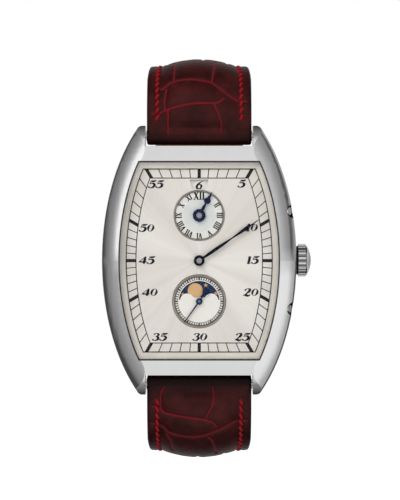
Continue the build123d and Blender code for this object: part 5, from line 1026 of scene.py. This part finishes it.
def leather_look(name, dark, mid, groove):
    """Glazed hide: dark scales, another colour in the grooves, glossy and slightly cloudy."""
    look = Look(name, mid, 0.4, 0.0, Coat_Weight=0.04, Coat_Roughness=0.25, Specular_IOR_Level=0.12)
    fine = look.grain(0.35, 4.0, 0.65)
    in_groove, dim = (
        look.node("ShaderNodeAttribute", attribute_name=name).outputs["Fac"] for name in ("groove", "dim")
    )
    pale = tuple(c * PALE_SHARE for c in mid)
    base = look.ramp(look.grain(3.0, 3.0), (0.30, dark), (0.62, mid), (0.80, pale))
    base = look.mixed(look.spread(in_groove, 0.0, 0.95, 0.30, 0.95), base, groove)
    look.put(
        # the dim tone is painted shade on the fold in the lugs, and darkens the rims outside the stitches
        Base_Color=look.mixed(look.spread(dim, 0.0, DIM_SHARE), base, DIM_TONE),
        Roughness=look.spread(look.math("ADD", fine, in_groove), 0.34, 0.56, 0.3, 1.4),
    )
    given = {"Vector": look.stretched(CREASES_PER_METRE), "Scale": 1.0}
    creases = look.node("ShaderNodeTexVoronoi", given, feature="DISTANCE_TO_EDGE").outputs["Distance"]
    look.bump(look.math("ADD", look.math("MULTIPLY", fine, 0.5), creases), CREASE_DEPTH)
    return look


KEEPER_SIDE, KEEPER_LOW, KEEPER_HIGH, KEEPER_WIDE = 0.35, -1.35, 4.05, 4.0
KEEPER_CORNER, KEEPER_WALL, KEEPER_SWELL, KEEPER_INSIDE = 0.9, 0.32, 0.54, 0.02
FIXED_BACK, SLIDING_BACK = 5.5, 11.5


def rounded_loop(half, low, high, corner):
    """Rounded rectangle of (across, offset) points round the strap."""
    x, top, bottom = half - corner, high - corner, low + corner
    points = []
    for quarter, (cx, cy) in enumerate(((x, top), (-x, top), (-x, bottom), (x, bottom))):
        for k in range(9):
            t = math.radians(90 * quarter + 90 * k / 8)
            points.append((cx + corner * math.cos(t), cy + corner * math.sin(t)))
    return points


def keeper(name, middle_back, look, body, node):
    """One leather loop round the upper strap, with a rounded outer face and a plain inner one."""
    s = UPPER.total - middle_back
    along, out = UPPER.frame(s)
    centre, half = UPPER.place(0.0, s, 0.0), UPPER.half(s) + KEEPER_SIDE
    profile = []
    for k in range(13):
        t = math.pi * k / 12
        extra = KEEPER_WALL + KEEPER_SWELL * math.sin(t) ** 0.45
        profile.append((-math.cos(t) * KEEPER_WIDE / 2 * (0.97 + 0.03 * math.sin(t)), extra, extra))
    inside = KEEPER_WIDE / 2 - KEEPER_INSIDE
    profile += [(shift, KEEPER_INSIDE, 0.0) for shift in (inside, 0.0, -inside)]
    rings = []
    for shift, extra, rounder in profile:
        points = rounded_loop(half + extra, KEEPER_LOW - extra, KEEPER_HIGH + extra, KEEPER_CORNER + rounder)
        rings.append([tuple(centre + (ACROSS * x + out * y + along * shift) * MM) for x, y in points])
    return piece(Soup().loft(rings, True).make(name, look, 50.0), body, "oxblood_leather", node)


def straps(leather, lining, thread):
    """Both halves with their linings and stitches, and the two keepers."""
    grooves = all_grooves(UPPER_GROOVES, 14.5, UPPER.total, 11)
    upper = strap_shell("upper_strap_hide", UPPER, grooves, leather, True)
    cut_away(upper, [notch_cutter(leather)])
    piece(upper, "upper_strap", "oxblood_leather", "upper_strap_leather")
    grooves = all_grooves(LOWER_GROOVES, 14.0, LOWER.total, 12)
    lower = strap_shell("lower_strap_hide", LOWER, grooves, leather)
    cut_away(lower, hole_cutters(leather))
    piece(lower, "lower_strap", "oxblood_leather", "lower_strap_leather")
    under = lining_shell("upper_strap_inner_hide", UPPER, UPPER.total - 1.87, lining)
    piece(under, "upper_strap", "lining_leather", "upper_strap_lining")
    under = lining_shell("lower_strap_inner_hide", LOWER, LOWER.total, lining)
    cut_away(under, hole_cutters(leather))
    piece(under, "lower_strap", "lining_leather", "lower_strap_lining")
    for strap, body, last in (
        (UPPER, "upper_strap", UPPER.total - 2.6), (LOWER, "lower_strap", LOWER.total - 1.9)
    ):
        for face in ("outside", "inside"):
            rows = stitch_rows(f"{body}_stitches_{face}", strap, last, thread, face == "outside")
            piece(rows, body, "oxblood_leather")
    keeper("fixed_keeper_loop", FIXED_BACK, leather, "upper_strap", "fixed_keeper")
    keeper("sliding_keeper_loop", SLIDING_BACK, leather, "loose_keeper", "sliding_keeper")


# Stage

CAMERA_AWAY, FRAME_TALL, SENSOR = 360.0, 500 / 6.0, 36.0
FRAME_CENTRE, CAMERA_PITCH = (0.133, 1.767), math.radians(1.4)
CAMERA_CLIP = (0.01, 20.0)
FLOOR_HALF, FLOOR_LOW, FLOOR_TONE, FLOOR_LIFT = 3.0, -0.125, (0.82,) * 3, 0.56
# Each lamp in metres: name, place, size and power
LAMPS = [("key", (-0.35, -0.55, 0.55), (0.45, 0.45), 5.0), ("fill", (0.5, -0.5, -0.1), (0.4, 0.6), 1.6)]


def stand(name, data, place, aim):
    """A camera or lamp at a place, looking along a direction."""
    obj = bpy.data.objects.new(name, data)
    bpy.context.scene.collection.objects.link(obj)
    obj.location = place
    obj.rotation_mode = "QUATERNION"
    obj.rotation_quaternion = aim.to_track_quat("-Z", "Y")
    return obj


def make_camera():
    data = bpy.data.cameras.new("camera")
    data.sensor_fit, data.sensor_width = "AUTO", SENSOR
    data.lens = SENSOR * CAMERA_AWAY / FRAME_TALL
    data.clip_start, data.clip_end = CAMERA_CLIP
    target = Vector(at(FRAME_CENTRE[0], DIAL, FRAME_CENTRE[1]))
    back = Vector((0, -math.cos(CAMERA_PITCH), math.sin(CAMERA_PITCH)))
    bpy.context.scene.camera = stand("camera", data, target + back * CAMERA_AWAY * MM, -back)


def make_lights():
    for name, place, size, power in LAMPS:
        data = bpy.data.lights.new(name, "AREA")
        data.shape, data.size, data.size_y = "RECTANGLE", *size
        data.energy = power
        stand(name, data, place, -Vector(place)).visible_glossy = False


# Greys that polished metal sees of the studio, by how far a direction leans back from the viewer:
# the flanks see -0.68 beside the opening and -0.62 at their rounded rims, which see all beyond
LEFT_HIGH = [
    (-0.74, 0.85), (-0.71, 0.98), (-0.695, 0.90), (-0.68, 0.55), (-0.665, 0.36), (-0.645, 0.25),
    (-0.625, 0.20), (-0.60, 0.06), (-0.54, 0.06),
]
LEFT_LOW = [
    (-0.74, 0.60), (-0.70, 0.45), (-0.68, 0.37), (-0.66, 0.31), (-0.645, 0.27), (-0.625, 0.22),
    (-0.60, 0.06), (-0.54, 0.06),
]
RIGHT_HIGH = [
    (-0.74, 0.66), (-0.70, 0.50), (-0.68, 0.40), (-0.66, 0.31), (-0.635, 0.26), (-0.628, 0.10),
    (-0.617, 0.10), (-0.60, 0.30), (-0.54, 0.34),
]
RIGHT_LOW = [(-0.74, 0.82), (-0.65, 0.80), (-0.63, 0.70), (-0.61, 0.46), (-0.58, 0.30), (-0.54, 0.26)]
BEHIND = [(0.75, 0.52), (1.0, 0.56)]
LEFT_BEYOND = [(-0.54, 0.06), (0.40, 0.07)] + BEHIND
RIGHT_BEYOND_HIGH = [(-0.54, 0.34), (0.40, 0.34)] + BEHIND
RIGHT_BEYOND_LOW = [(-0.54, 0.26), (-0.30, 0.06), (0.40, 0.08)] + BEHIND
MIDDLE = [(-1.0, 0.72), (-0.62, 0.70), (-0.45, 0.25), (-0.10, 0.05), (0.40, 0.08)] + BEHIND
# Where one ramp passes into the next: by height, by depth and to each side of the middle
LOW_BAND, PAST_BAND, LEFT_BAND, RIGHT_BAND = (0.03, -0.10), (-0.56, -0.54), (-0.48, -0.36), (0.36, 0.48)
WHITE_LIGHT, SOFT_LIGHT = (1, 1, 1), 0.55


def greys(world, value, stops):
    """A grey ramp over a value, from its first stop to its last."""
    start, end = stops[0][0], stops[-1][0]
    stops = [((where - start) / (end - start), (shade,) * 3) for where, shade in stops]
    return world.ramp(world.spread(value, 0.0, 1.0, start, end), *stops)


def shone(world, colour, strength=1.0):
    return world.node("ShaderNodeBackground", {0: colour, 1: strength}).outputs[0]


def make_world():
    """Soft light for everything, a grey studio for gloss and pure white for the camera."""
    studio = bpy.data.worlds.new("studio")
    bpy.context.scene.world = studio
    studio.use_nodes = True
    studio.node_tree.nodes.clear()
    world = Nodes(studio.node_tree)
    across, depth, up = world.split(world.node("ShaderNodeTexCoord").outputs["Generated"])
    low, past, from_left, to_right = (
        world.spread(value, 0.0, 1.0, *band)
        for value, band in ((up, LOW_BAND), (depth, PAST_BAND), (across, LEFT_BAND), (across, RIGHT_BAND))
    )
    left = world.mixed(low, greys(world, depth, LEFT_HIGH), greys(world, depth, LEFT_LOW))
    left = world.mixed(past, left, greys(world, depth, LEFT_BEYOND))
    right = world.mixed(low, *(
        world.mixed(past, greys(world, depth, near), greys(world, depth, beyond))
        for near, beyond in ((RIGHT_HIGH, RIGHT_BEYOND_HIGH), (RIGHT_LOW, RIGHT_BEYOND_LOW))
    ))
    seen = world.mixed(to_right, world.mixed(from_left, left, greys(world, depth, MIDDLE)), right)
    path = world.node("ShaderNodeLightPath").outputs
    light = world.either(path["Is Glossy Ray"], shone(world, WHITE_LIGHT, SOFT_LIGHT), shone(world, seen))
    clear = world.math("MAXIMUM", path["Is Camera Ray"], path["Is Transmission Ray"])
    world.node("ShaderNodeOutputWorld", {"Surface": world.either(clear, light, shone(world, WHITE_LIGHT))})


def make_floor():
    corners = [(x * FLOOR_HALF, y * FLOOR_HALF, FLOOR_LOW) for x, y in ((-1, -1), (1, -1), (1, 1), (-1, 1))]
    look = Look("pale_floor", FLOOR_TONE, 0.9)
    to_camera = look.node("ShaderNodeLightPath").outputs["Is Camera Ray"]
    glow = look.node("ShaderNodeEmission", {"Strength": look.math("MULTIPLY", to_camera, FLOOR_LIFT)})
    both = look.node("ShaderNodeAddShader", {0: look.shader.outputs[0], 1: glow.outputs[0]})
    look.ends_in(both.outputs[0])
    floor = Soup().add(corners, [(0, 1, 2, 3)]).make("floor", look)
    floor.visible_glossy = False


# Build

# Pieces whose look isn't the plain one of their slot
OWN_LOOKS = {
    # the minute hand's darker blued steel is painted shade
    "minute_hand": "shaded_blued_steel", "crown": "crown_steel",
    "hour_hand_cap": "cap_steel", "minute_hand_cap": "cap_steel",
    "date_corrector": "small_steel", "moon_corrector": "small_steel",
    "seconds_dial_ring": "bronze_ring", "hour_dial_ring": "grey_ring",
}

looks = make_looks()
for n, obj in nodes.items():
    slot_name = obj.data.materials[0].name.split(".")[0]
    obj.data.materials.clear()
    obj.data.materials.append(looks[OWN_LOOKS.get(n, slot_name)].mat)

minute_track(looks["track_print"])
minute_figures(looks["navy_print"])
date_figures(looks["black_print"])
hour_figures(looks["black_print"])
seconds_scale(looks["black_print"])
moon_parts(looks["moon_gold"])
seconds_pin(looks["pin_blue"])
crown_skirt(looks["gap_shadow_black"])
straps(looks["oxblood_leather"], looks["lining_leather"], looks["red_thread"])

make_camera()
make_world()
make_floor()
make_lights()
bpy.context.scene.view_settings.view_transform = "Standard"
